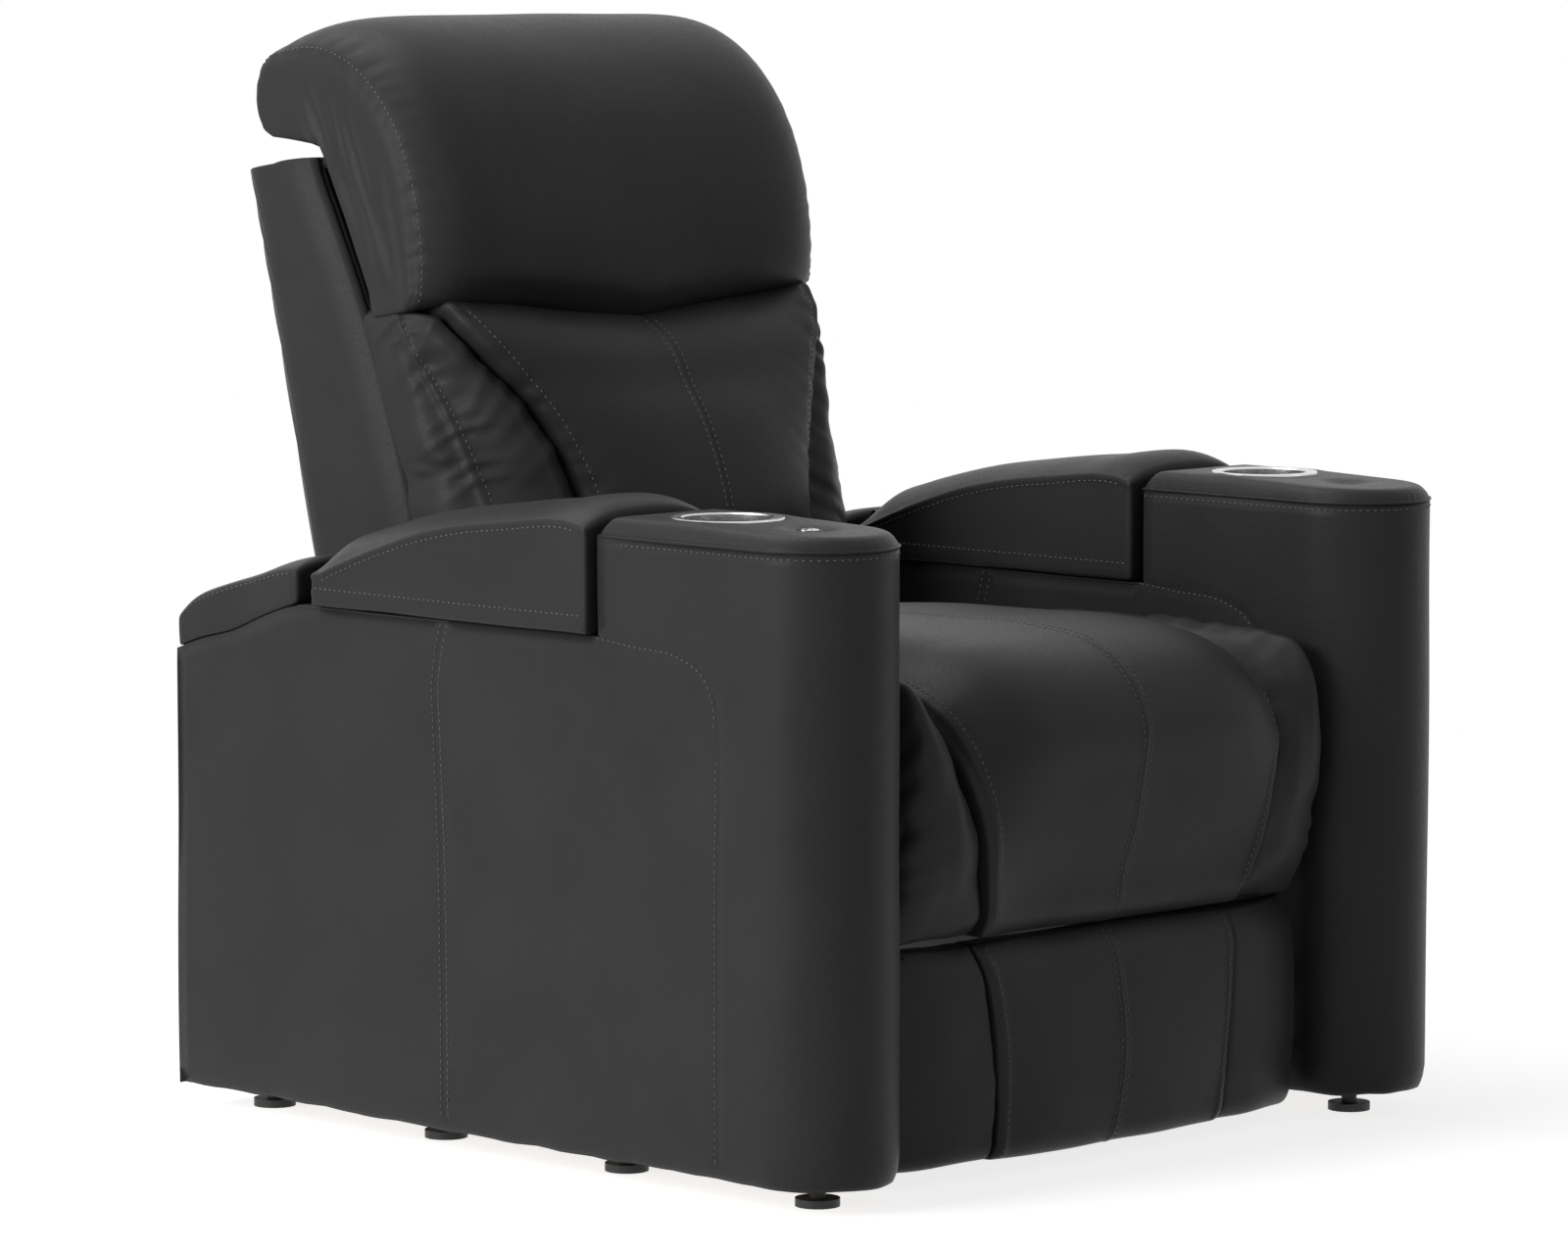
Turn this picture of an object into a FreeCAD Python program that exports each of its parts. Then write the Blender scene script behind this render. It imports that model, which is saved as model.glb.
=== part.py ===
"""Home cinema recliner seat: arms with storage, powered back, headrest and footrest.

Frame: +Z up, the sitter faces -Y, +X is the sitter's left hand. The origin lies on the floor,
under the middle of the chair's box. Lengths are millimetres and angles are degrees.
"""
import FreeCAD, Part
import math
import os
import Sketcher
from FreeCAD import Placement, Rotation, Vector

document = FreeCAD.newDocument("cinema_recliner")
sheet = document.addObject("Spreadsheet::Sheet", "sizes")

# Driving sizes: name, value, what it measures
SIZES = [
    ("front_reach", 515, "origin to the front of the arms"),
    ("arm_depth", 945, "arm, front to rear"),
    ("arm_width", 157, "arm, outer to inner face"),
    ("seat_opening", 626, "between the inner faces of the arms"),
    ("arm_clearance", 26, "floor to the arm cover's lower edge"),
    ("deck_height", 542, "floor to the arm's deck under the lid"),
    ("column_height", 641, "floor to the front column's seam"),
    ("column_depth", 302.5, "front column, front to rear"),
    ("cover_skin", 6, "leather and padding of the arm cover"),
    ("frame_board", 12, "plywood of the arm frames"),
    ("former_board", 18, "formers inside the column"),
    ("foot_height", 40, "floor to the arm frame's base board"),
    ("foot_radius", 22, "glide foot"),
    ("foot_stem", 8, "glide foot's stem radius"),
    ("pad_crown", 19, "top pad of the column"),
    ("dish_radius", 30, "rim of the dish in the top pad"),
    ("dish_depth", 5, "dish in the top pad"),
    ("dish_setback", 89.5, "front of the arm to the dish"),
    ("cup_setback", 202.5, "front of the arm to the cup holder"),
    ("cup_bore", 44, "cup holder's inside radius"),
    ("cup_flange", 56.5, "cup holder's flange radius"),
    ("cup_depth", 78, "cup holder, flange to floor of the cup"),
    ("cup_wall", 1.5, "steel of the cup holder"),
    ("control_radius", 12.5, "control housing"),
    ("button_radius", 4.5, "push button"),
    ("button_travel", 1.5, "push button's stroke"),
    ("button_spread", 6, "control centre to a button"),
    ("tray_half_width", 56, "storage tray"),
    ("tray_length", 335, "storage tray, front to rear"),
    ("tray_depth", 118, "storage tray, deck to its underside"),
    ("tray_wall", 3, "plastic of the storage tray"),
    ("tray_setback", 25, "column's rear face to the tray"),
    ("lid_overhang", 10, "lid beyond the arm, each side"),
    ("lid_length", 410, "lid, front to rear"),
    ("lid_gap", 9, "column's rear face to the lid"),
    ("lid_front_height", 105, "lid's underside to its front seam"),
    ("lid_middle_height", 91, "lid's underside to its seam at mid length"),
    ("lid_rear_height", 28, "lid's underside to its rear seam"),
    ("lid_crown", 22, "lid's crown above its seam"),
    ("lid_board", 9, "board under the lid's cushion"),
    ("lid_clearance", 3, "deck to the lid's underside"),
    ("lid_hinge_pin", 2.5, "lid hinge's pin radius"),
    ("lid_hinge_height", 40, "lid's underside to the hinge's axis"),
    ("lid_hinge_gap", 14.5, "lid's rear face to the hinge's axis"),
    ("cap_rear_height", 482, "floor to the arm's rear corner"),
    ("cap_thickness", 37, "rear cap"),
    ("cap_crown", 12, "rear cap's crown"),
    ("rail_gauge", 3, "steel of the base rails"),
    ("rail_height", 110, "base rail"),
    ("rail_flange", 43, "base rail's foot"),
    ("rail_front", -380, "base rail's front end"),
    ("rail_rear", 400, "base rail's rear end"),
    ("cross_tube", 20, "base cross tube, square"),
    ("tube_wall", 2, "wall of the steel tubes"),
    ("slide_width", 20, "slide rail"),
    ("slide_height", 32, "slide rail"),
    ("slide_level", 110, "floor to the slide rail's underside"),
    ("slide_wall", 4, "slide rail's walls"),
    ("slide_play", 0.5, "runner to slide rail"),
    ("slide_front", -360, "slide rail's front end"),
    ("slide_rear", 250, "slide rail's rear end"),
    ("plate_gauge", 4, "steel of plates and links"),
    ("plate_window", 38, "radius of the round windows in the side plates"),
    ("seat_frame_level", 360, "floor to the seat frame's underside"),
    ("seat_frame_depth", 40, "seat frame's timber, height"),
    ("seat_frame_rail", 45, "seat frame's timber, width"),
    ("seat_frame_front", -424, "seat frame's front"),
    ("seat_frame_rear", 130, "seat frame's rear"),
    ("spring_wire", 1.9, "spring wire radius"),
    ("seat_height", 530, "floor to the seat's crown"),
    ("seat_nose", -508.5, "seat's foremost point"),
    ("seat_fall_level", 243, "floor to the seat's lower front edge"),
    ("seat_shoulder", -368.5, "where the seat's top starts to fall"),
    ("seat_rear", 74, "rear of the seat cushions"),
    ("seat_panel_half", 202, "centre cushion's half width"),
    ("seat_side_gap", 5, "seat bolster to arm"),
    ("footrest_top", 232, "footrest's upper edge"),
    ("footrest_bottom", 15, "footrest's lower edge"),
    ("footrest_back", -436, "footrest cushions' back"),
    ("footrest_nose", -478.5, "footrest's foremost point"),
    ("footrest_panel_half", 187, "footrest centre cushion's half width"),
    ("footrest_half", 296, "footrest's half width"),
    ("footrest_board", 16, "footrest's board"),
    ("swing_axis_y", -275, "footrest swing axis"),
    ("swing_axis_z", 319, "footrest swing axis"),
    ("elbow_y", -153, "pivot of swing frame and reach link"),
    ("elbow_z", 109, "pivot of swing frame and reach link"),
    ("board_pivot_y", -396, "pivot of reach link and footrest"),
    ("board_pivot_z", 135, "pivot of reach link and footrest"),
    ("link_width", 20, "width of the footrest links"),
    ("pivot_pin", 5, "radius of the link pivots"),
    ("pivot_play", 0.05, "pin to bore, all pivots"),
    ("torque_tube", 11, "swing frame's tube radius"),
    ("back_axis_y", 215, "recline axis"),
    ("back_axis_z", 345, "recline axis"),
    ("back_pin", 8, "recline pivot radius"),
    ("back_lean", 13.5, "lean of the back from upright"),
    ("shell_rear_y", 416.5, "rear of the shell at the level of shell_rear_z"),
    ("shell_rear_z", 578, "level at which shell_rear_y is measured"),
    ("shell_half", 290, "back shell's half width"),
    ("shell_wall", 14, "padded wall of the back shell"),
    ("shell_bottom", 420, "floor to the shell's lower edge"),
    ("shell_top", 990, "floor to the shell's front top corner"),
    ("wing_top_depth", 110, "shell's rear to its front top corner"),
    ("back_board", 18, "back frame's boards"),
    ("back_frame_depth", 95, "shell's rear to the frame's front"),
    ("back_rail_depth", 40, "back frame's rails"),
    ("back_frame_bottom", 330, "floor to the back frame's feet"),
    ("back_frame_top", 930, "floor to the back frame's top"),
    ("lumbar_nose", 88.5, "front of the lumbar at 624 above the floor"),
    ("lumbar_bottom", 410, "floor to the back cushions' lower edge"),
    ("lumbar_top", 808, "floor to the lumbar cushion's top"),
    ("head_axis_y", 248, "headrest hinge axis"),
    ("head_axis_z", 812, "headrest hinge axis"),
    ("head_half", 290, "headrest's half width"),
    ("head_crown", 38, "headrest's crown at its middle"),
    ("head_seam", 1090, "floor to the headrest's seam at its top"),
    ("head_rear", 515, "headrest's rearmost point"),
    ("head_gap", 5, "headrest to the front of the shell"),
    ("head_slope", 0.155, "headrest's rear face, forward per drop from the shell's top"),
    ("head_arm_x", 150, "headrest arms from the middle"),
    ("actuator_spread", 90, "actuators from the middle"),
    ("motor_width", 64, "actuator's motor block"),
    ("motor_height", 76, "actuator's motor block"),
    ("actuator_tube", 18, "actuator's tube radius"),
    ("actuator_rod", 9, "actuator's rod radius"),
    ("recline_drop", 65, "recline actuator below the recline axis"),
    ("footrest_drop", 32, "footrest actuator below the swing axis"),
    ("swing_sweep", 87, "turn of the footrest's swing frame"),
    ("lug_gauge", 6, "steel of the actuators' lugs"),
    ("bolt_radius", 4, "frame bolts"),
]
for row, (name, number, note) in enumerate(SIZES, start=1):
    sheet.set(f"A{row}", name)
    sheet.set(f"B{row}", str(number))
    sheet.setAlias(f"B{row}", name)
    sheet.set(f"C{row}", note)
document.recompute()

nodes = []


def value(formula):
    """Number that a formula of the sheet gives."""
    return float(sheet.evalExpression(formula))


def keep(node, piece):
    """Give a finished sub-part its own label and put it on the list of pieces to write."""
    piece.Label = node
    nodes.append(piece)
    return piece


def block(name, x, y, z):
    """Box between pairs of formulas."""
    box = document.addObject("Part::Box", name)
    for side, place, (low, high) in (("Length", "x", x), ("Width", "y", y), ("Height", "z", z)):
        box.setExpression(side, f"({high}) - ({low})")
        box.setExpression(f"Placement.Base.{place}", low)
    return box


TURNS = {
    "x": Rotation(Vector(0, 1, 0), 90),
    "y": Rotation(Vector(1, 0, 0), -90),
    "z": Rotation(),
}


def rod(name, axis, radius, centre, span):
    """Cylinder along an axis; centre gives the other two coordinates in X, Y, Z order."""
    cylinder = document.addObject("Part::Cylinder", name)
    cylinder.Placement = Placement(Vector(), TURNS[axis])
    cylinder.setExpression("Radius", radius)
    cylinder.setExpression("Height", f"({span[1]}) - ({span[0]})")
    cylinder.setExpression(f"Placement.Base.{axis}", span[0])
    across = [letter for letter in "xyz" if letter != axis]
    for letter, formula in zip(across, centre):
        cylinder.setExpression(f"Placement.Base.{letter}", formula)
    return cylinder


def fuse(name, pieces):
    """One solid from several that touch or overlap."""
    joined = document.addObject("Part::MultiFuse", name)
    joined.Shapes = pieces
    joined.Refine = True
    return joined


def cut(name, base, tool):
    """Base without the tool."""
    trimmed = document.addObject("Part::Cut", name)
    trimmed.Base = base
    trimmed.Tool = tool
    return trimmed


def group(name, pieces):
    """Several separate solids of one kind."""
    gathered = document.addObject("Part::Compound", name)
    gathered.Links = pieces
    return gathered


def mirror(name, source):
    """Copy of a right-hand piece for the left-hand side."""
    copy = document.addObject("Part::Mirroring", name)
    copy.Source = source
    copy.Normal = Vector(1, 0, 0)
    return copy


PLANES = {"yz": "YZ_Plane", "xz": "XZ_Plane", "xy": "XY_Plane"}
ALONG = {"yz": "x", "xz": "y", "xy": "z"}


def sketch(body, name, plane, corners, holes=()):
    """Closed outline with round holes on an origin plane, each point held by its formulas."""
    outline = body.newObject("Sketcher::SketchObject", name)
    support = [item for item in body.Origin.OriginFeatures if item.Role == PLANES[plane]]
    outline.AttachmentSupport = [(support[0], "")]
    outline.MapMode = "FlatFace"
    count = len(corners)

    def hold(element, point, places):
        for kind, formula in zip(("DistanceX", "DistanceY"), places):
            row = outline.addConstraint(
                Sketcher.Constraint(kind, -1, 1, element, point, value(formula)))
            outline.setExpression(f"Constraints[{row}]", formula)

    points = [Vector(value(u), value(v), 0) for u, v in corners]
    for index in range(count):
        outline.addGeometry(Part.LineSegment(points[index], points[(index + 1) % count]))
    for index in range(count):
        outline.addConstraint(Sketcher.Constraint("Coincident", index, 2, (index + 1) % count, 1))
    for index, corner in enumerate(corners):
        hold(index, 1, corner)
    for index, (u, v, radius) in enumerate(holes, start=count):
        centre = Vector(value(u), value(v), 0)
        outline.addGeometry(Part.Circle(centre, Vector(0, 0, 1), value(radius)))
        row = outline.addConstraint(Sketcher.Constraint("Radius", index, value(radius)))
        outline.setExpression(f"Constraints[{row}]", radius)
        hold(index, 3, (u, v))
    return outline


def plate(name, plane, corners, span, holes=()):
    """Flat piece: an outline with round holes, padded between two formulas."""
    body = document.addObject("PartDesign::Body", name)
    outline = sketch(body, f"{name}_outline", plane, corners, holes)
    pad = body.newObject("PartDesign::Pad", f"{name}_pad")
    pad.Profile = outline
    pad.setExpression("Length", f"({span[1]}) - ({span[0]})")
    pad.Reversed = plane == "xz"
    body.setExpression(f"Placement.Base.{ALONG[plane]}", span[0])
    return body


def wire(corners, lift):
    """Closed wire; each corner is (u, v) or (u, v, bulge), the bulge of the edge that follows."""
    edges = []
    for index, corner in enumerate(corners):
        start = Vector(corner[0], corner[1], 0)
        following = corners[(index + 1) % len(corners)]
        end = Vector(following[0], following[1], 0)
        bulge = corner[2] if len(corner) > 2 else 0
        if bulge:
            chord = end - start
            outward = Vector(chord.y, -chord.x, 0).normalize()
            middle = (start + end) * 0.5 + outward * bulge
            edges.append(Part.Arc(lift(start), lift(middle), lift(end)).toShape())
        else:
            edges.append(Part.LineSegment(lift(start), lift(end)).toShape())
    return Part.Wire(edges)


def loft_along_x(sections):
    """Soft form through outlines in planes of constant x."""
    wires = []
    for x, corners in sections:
        wires.append(wire(corners, lambda point, x=x: Vector(x, point.x, point.y)))
    return Part.makeLoft(wires, True, False)


def loft_along_z(sections):
    """Soft form through outlines in planes of constant z."""
    wires = []
    for z, corners in sections:
        wires.append(wire(corners, lambda point, z=z: Vector(point.x, point.y, z)))
    return Part.makeLoft(wires, True, False)


def stations(low, high, count):
    """Evenly spaced places from low to high, each with its share from -1 to 1."""
    for index in range(count):
        share = 2 * index / (count - 1) - 1
        yield low + (high - low) * index / (count - 1), share


def soft(name, shape):
    """Cushion whose form is a loft."""
    piece = document.addObject("Part::Feature", name)
    piece.Shape = shape
    return piece


# Places that several pieces share
INNER = "(sizes.seat_opening / 2)"
OUTER = "(sizes.seat_opening / 2 + sizes.arm_width)"
ARM_MIDDLE = "(-(sizes.seat_opening + sizes.arm_width) / 2)"
FRONT = "(-sizes.front_reach)"
REAR = "(sizes.arm_depth - sizes.front_reach)"
NOSE = "(sizes.arm_width / 2 - sizes.front_reach)"
COLUMN_REAR = "(sizes.column_depth - sizes.front_reach)"
SKIN = "sizes.cover_skin"
DECK = "sizes.deck_height"
LID_FRONT = f"({COLUMN_REAR} + sizes.lid_gap)"
LID_REAR = f"({LID_FRONT} + sizes.lid_length)"
LID_BOTTOM = "(sizes.deck_height + sizes.lid_clearance)"
CAP_FRONT = f"({LID_REAR} + 2 * sizes.lid_hinge_gap)"
TRAY_FRONT = f"({COLUMN_REAR} + sizes.tray_setback)"
TRAY_REAR = f"({TRAY_FRONT} + sizes.tray_length)"
CUP_Y = f"({FRONT} + sizes.cup_setback)"
DISH_Y = f"({FRONT} + sizes.dish_setback)"
PAD_TOP = "(sizes.column_height + sizes.pad_crown)"


def arm_cover():
    """Upholstered shell of the right arm, open below, with a hole for the storage tray."""
    def side(name, inset, bottom, top):
        corners = [
            (NOSE, bottom),
            (f"{REAR} - {inset}", bottom),
            (f"{REAR} - {inset}", f"sizes.cap_rear_height - {inset}"),
            (CAP_FRONT, f"{DECK} - {inset}"),
            (f"{COLUMN_REAR} - {inset}", f"{DECK} - {inset}"),
            (f"{COLUMN_REAR} - {inset}", top),
            (NOSE, top),
        ]
        sides = (f"-{OUTER} + {inset}", f"-{INNER} - {inset}")
        body = plate(name, "yz", corners, sides)
        column = rod(f"{name}_column", "z", f"sizes.arm_width / 2 - {inset}",
                     (ARM_MIDDLE, NOSE), (bottom, top))
        return fuse(f"{name}_form", [body, column])

    outside = side("cover_outside", "0", "sizes.arm_clearance", "sizes.column_height")
    inside = side("cover_inside", SKIN, "sizes.arm_clearance - 1", "sizes.column_height + 1")
    well = tray_block("cover_well", "sizes.cover_skin / 12", f"{DECK} - 2 * {SKIN}", f"{DECK} + 1")
    shell = cut("cover_shell", outside, inside)
    return cut("cover_with_well", shell, group("cover_holes", [well, *bolt_holes("cover")]))


def tray_block(name, play, bottom, top):
    """Block round the storage tray's outside, larger by some play."""
    return block(
        name,
        (f"{ARM_MIDDLE} - sizes.tray_half_width - {play}",
         f"{ARM_MIDDLE} + sizes.tray_half_width + {play}"),
        (f"{TRAY_FRONT} - {play}", f"{TRAY_REAR} + {play}"),
        (bottom, top),
    )


BOLT_PLACES = ["sizes.rail_front + 110", "(sizes.rail_front + sizes.rail_rear) / 2",
               "sizes.rail_rear - 110"]
BOLT_LEVEL = "sizes.foot_height + sizes.rail_height * 0.3"


def bolt_holes(name):
    """Holes for the bolts that hold a base rail to the right arm."""
    return [
        rod(f"{name}_bolt_hole_{index}", "x", "sizes.bolt_radius + 0.2", (place, BOLT_LEVEL),
            (f"-{INNER} - {SKIN} - sizes.frame_board - 2", f"-{INNER} + sizes.rail_gauge + 1"))
        for index, place in enumerate(BOLT_PLACES)
    ]


def arm_frame():
    """Plywood box inside the right arm: its boards and formers stand edge to edge."""
    floor = "sizes.foot_height"
    top = f"{DECK} - {SKIN}"
    low, high = f"-{OUTER} + {SKIN}", f"-{INNER} - {SKIN}"
    between = (f"{low} + sizes.frame_board", f"{high} - sizes.frame_board")
    column_rear = f"{COLUMN_REAR} - {SKIN}"
    back_board = (f"{column_rear} - sizes.former_board", column_rear)
    end_board = (f"{REAR} - {SKIN} - sizes.former_board", f"{REAR} - {SKIN}")
    under = f"{floor} + sizes.former_board"
    corners = [
        (NOSE, floor),
        (f"{REAR} - {SKIN}", floor),
        (f"{REAR} - {SKIN}", f"sizes.cap_rear_height - {SKIN}"),
        (CAP_FRONT, top),
        (NOSE, top),
    ]
    holes = group("frame_bolt_holes", bolt_holes("frame"))
    inner_board = plate("frame_inner_board", "yz", corners, (between[1], high))
    boards = [
        plate("frame_outer_board", "yz", corners, (low, between[0])),
        cut("frame_inner_board_bored", inner_board, holes),
        block("frame_base_board", between, (NOSE, end_board[0]), (floor, under)),
        block("frame_end_board", between, end_board, (floor, f"sizes.cap_rear_height - {SKIN}")),
        block("frame_deck_board", between, (f"{TRAY_REAR} + 2", CAP_FRONT),
              (f"{top} - sizes.former_board", top)),
        block("column_back_board", between, back_board, (under, "sizes.column_height")),
        block("former_middle", between, (NOSE, back_board[0]),
              (f"{DECK} / 2", f"{DECK} / 2 + sizes.former_board")),
    ]
    head = "sizes.column_height - sizes.former_board"
    cup = rod("frame_cup_hole", "z", "sizes.cup_bore + sizes.cup_wall + 1", (ARM_MIDDLE, CUP_Y),
              (f"{head} - 1", "sizes.column_height + 1"))
    former = block("former_head", (low, high), (NOSE, back_board[0]), (head, "sizes.column_height"))
    boards.append(cut("former_head_bored", former, cup))
    levels = {"bottom": floor, "middle": f"{DECK} / 2", "top": head}
    for name, level in levels.items():
        disc = rod(f"former_{name}_disc", "z", f"sizes.arm_width / 2 - {SKIN}", (ARM_MIDDLE, NOSE),
                   (level, f"{level} + sizes.former_board"))
        behind = block(f"former_{name}_behind", (f"{low} - 1", f"{high} + 1"),
                       (NOSE, f"{NOSE} + sizes.arm_width"), (f"{level} - 1", f"{level} + 30"))
        boards.append(cut(f"former_{name}_nose", disc, behind))
    return group("arm_frame_right", boards)


def arm_top_pad():
    """Stitched pad on the right arm's column, with a seat for the cup holder and a dish."""
    half = value("sizes.arm_width") / 2
    middle, nose, rear = value(ARM_MIDDLE), value(NOSE), value(COLUMN_REAR)
    seam, crown = value("sizes.column_height"), value("sizes.pad_crown")

    def ring(inset, rise):
        radius = half - inset
        bulge = radius * (1 - math.cos(math.pi / 4))
        corners = [
            (middle - radius, nose, bulge),
            (middle, nose - radius, bulge),
            (middle + radius, nose),
            (middle + radius, rear - inset),
            (middle - radius, rear - inset),
        ]
        return seam + rise, corners

    shape = loft_along_z([ring(0, 0), ring(1.5, crown * 0.36), ring(4.5, crown * 0.7), ring(11, crown)])
    pad = soft("top_pad_form", shape)
    cup = rod("pad_cup_hole", "z", "sizes.cup_bore + sizes.cup_wall + 1", (ARM_MIDDLE, CUP_Y),
              ("sizes.column_height - 1", f"{PAD_TOP} + 1"))
    seat = rod("pad_flange_seat", "z", "sizes.cup_flange + 0.5", (ARM_MIDDLE, CUP_Y),
               (f"{PAD_TOP} - 2 * sizes.cup_wall", f"{PAD_TOP} + 1"))
    ball = document.addObject("Part::Sphere", "dish_ball")
    reach = "((sizes.dish_radius ^ 2 + sizes.dish_depth ^ 2) / (2 * sizes.dish_depth))"
    ball.setExpression("Radius", reach)
    ball.setExpression("Placement.Base.x", ARM_MIDDLE)
    ball.setExpression("Placement.Base.y", DISH_Y)
    ball.setExpression("Placement.Base.z", f"{PAD_TOP} - sizes.dish_depth + {reach}")
    return cut("top_pad", pad, group("top_pad_cuts", [cup, seat, ball]))


def control_pocket():
    return rod("control_pocket", "z", "sizes.control_radius + 0.2", (ARM_MIDDLE, DISH_Y),
               (CONTROL_BOTTOM, f"{PAD_TOP} + 1"))


CONTROL_TOP = f"({PAD_TOP} - sizes.dish_depth + 1)"
CONTROL_BOTTOM = "(sizes.column_height + 4)"


def control_housing():
    """Round metal housing with a through hole for each push button."""
    disc = rod("control_disc", "z", "sizes.control_radius", (ARM_MIDDLE, DISH_Y),
               (CONTROL_BOTTOM, CONTROL_TOP))
    holes = [
        rod(f"button_hole_{name}", "z", "sizes.button_radius + 0.1",
            (f"{ARM_MIDDLE} {sign} sizes.button_spread", DISH_Y),
            (f"{CONTROL_BOTTOM} - 1", f"{CONTROL_TOP} + 1"))
        for name, sign in (("recline", "-"), ("upright", "+"))
    ]
    return cut("control_housing", disc, group("button_holes", holes))


def push_button(name, sign):
    """Round cap that stands above the housing by its stroke and a little more."""
    return rod(name, "z", "sizes.button_radius",
               (f"{ARM_MIDDLE} {sign} sizes.button_spread", DISH_Y),
               (f"{CONTROL_BOTTOM} + sizes.button_travel + 0.5",
                f"{CONTROL_TOP} + sizes.button_travel + 0.5"))


def cup_holder():
    """Pressed steel cup with a flange, turned about its own axis."""
    body = document.addObject("PartDesign::Body", "cup_holder_form")
    outer = "sizes.cup_bore + sizes.cup_wall"
    outline = sketch(body, "cup_section", "xz", [
        ("0", "-sizes.cup_depth - sizes.cup_wall"),
        (outer, "-sizes.cup_depth - sizes.cup_wall"),
        (outer, "-2 * sizes.cup_wall"),
        ("sizes.cup_flange", "-2 * sizes.cup_wall"),
        ("sizes.cup_flange - sizes.cup_wall", "0"),
        ("sizes.cup_bore + sizes.cup_wall", "0"),
        ("sizes.cup_bore", "-sizes.cup_wall"),
        ("sizes.cup_bore", "-sizes.cup_depth"),
        ("0", "-sizes.cup_depth"),
    ])
    turned = body.newObject("PartDesign::Revolution", "cup_turned")
    turned.Profile = outline
    turned.ReferenceAxis = (outline, ["V_Axis"])
    turned.Angle = 360
    body.setExpression("Placement.Base.x", ARM_MIDDLE)
    body.setExpression("Placement.Base.y", CUP_Y)
    body.setExpression("Placement.Base.z", f"{PAD_TOP} + sizes.cup_wall")
    return body


def storage_tray():
    """Plastic tray that hangs by its rim in the right arm."""
    outside = tray_block("tray_outside", "0", f"{DECK} - sizes.tray_depth", DECK)
    rim = tray_block("tray_rim", "sizes.tray_wall", DECK, f"{DECK} + sizes.tray_wall / 2")
    inside = tray_block("tray_inside", "-sizes.tray_wall",
                        f"{DECK} - sizes.tray_depth + sizes.tray_wall", f"{DECK} + sizes.tray_wall")
    return cut("storage_tray_right", fuse("tray_form", [outside, rim]), inside)


def lid_pad():
    """Box cushion of the right arm's lid: flat sides, a long curved top and a crown."""
    half = value("sizes.arm_width / 2 + sizes.lid_overhang")
    middle, front, rear = value(ARM_MIDDLE), value(LID_FRONT), value(LID_REAR) - 0.3
    bottom, crown = value(LID_BOTTOM), value("sizes.lid_crown")
    heights = [value(f"sizes.lid_{end}_height") for end in ("front", "middle", "rear")]
    waist = (front + rear) / 2
    sections = []
    for x, share in stations(middle - half, middle + half, 9):
        lift = crown * (1 - abs(share) ** 3)
        draw = 1.5 * share ** 6
        start = Vector(front + draw, bottom + heights[0] + lift)
        peak = Vector(waist, bottom + heights[1] + lift)
        end = Vector(rear - draw, bottom + heights[2] + lift)
        chord = end - start
        bulge = (Vector(chord.y, -chord.x) * (1 / chord.Length)).dot(peak - start)
        sections.append((x, [
            (front + draw, bottom),
            (rear - draw, bottom),
            (end.x, end.y, -bulge),
            (start.x, start.y),
        ]))
    form = soft("lid_pad_form", loft_along_x(sections))
    return cut("lid_pad_right", form, lid_board("lid_board_space"))


def lid_board(name):
    """Plywood board let into the underside of the lid's cushion."""
    return block(name,
                 (f"{ARM_MIDDLE} - sizes.tray_half_width", f"{ARM_MIDDLE} + sizes.tray_half_width"),
                 (f"{LID_FRONT} + 20", LID_REAR), (LID_BOTTOM, f"{LID_BOTTOM} + sizes.lid_board"))


HINGE_Y = f"({LID_REAR} + sizes.lid_hinge_gap)"
HINGE_Z = f"({LID_BOTTOM} + sizes.lid_hinge_height)"
KNUCKLE = "(2 * sizes.lid_hinge_pin)"


def lid_hinge_leaf():
    """Steel leaf on the lid's rear face, with the middle knuckle."""
    half = "sizes.tray_half_width * 0.4"
    across = (f"{ARM_MIDDLE} - {half}", f"{ARM_MIDDLE} + {half}")
    leaf = block("leaf_upright", across, (LID_REAR, f"{LID_REAR} + 2"),
                 (LID_BOTTOM, f"{HINGE_Z} - {KNUCKLE} + 2"))
    arm = block("leaf_arm", across, (LID_REAR, HINGE_Y),
                (f"{HINGE_Z} - {KNUCKLE}", f"{HINGE_Z} - {KNUCKLE} + 2"))
    eye = rod("leaf_eye", "x", KNUCKLE, (HINGE_Y, HINGE_Z), across)
    bore = rod("leaf_bore", "x", "sizes.lid_hinge_pin + sizes.pivot_play", (HINGE_Y, HINGE_Z), across)
    return cut("lid_hinge_leaf_right", fuse("leaf_form", [leaf, arm, eye]), bore)


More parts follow.
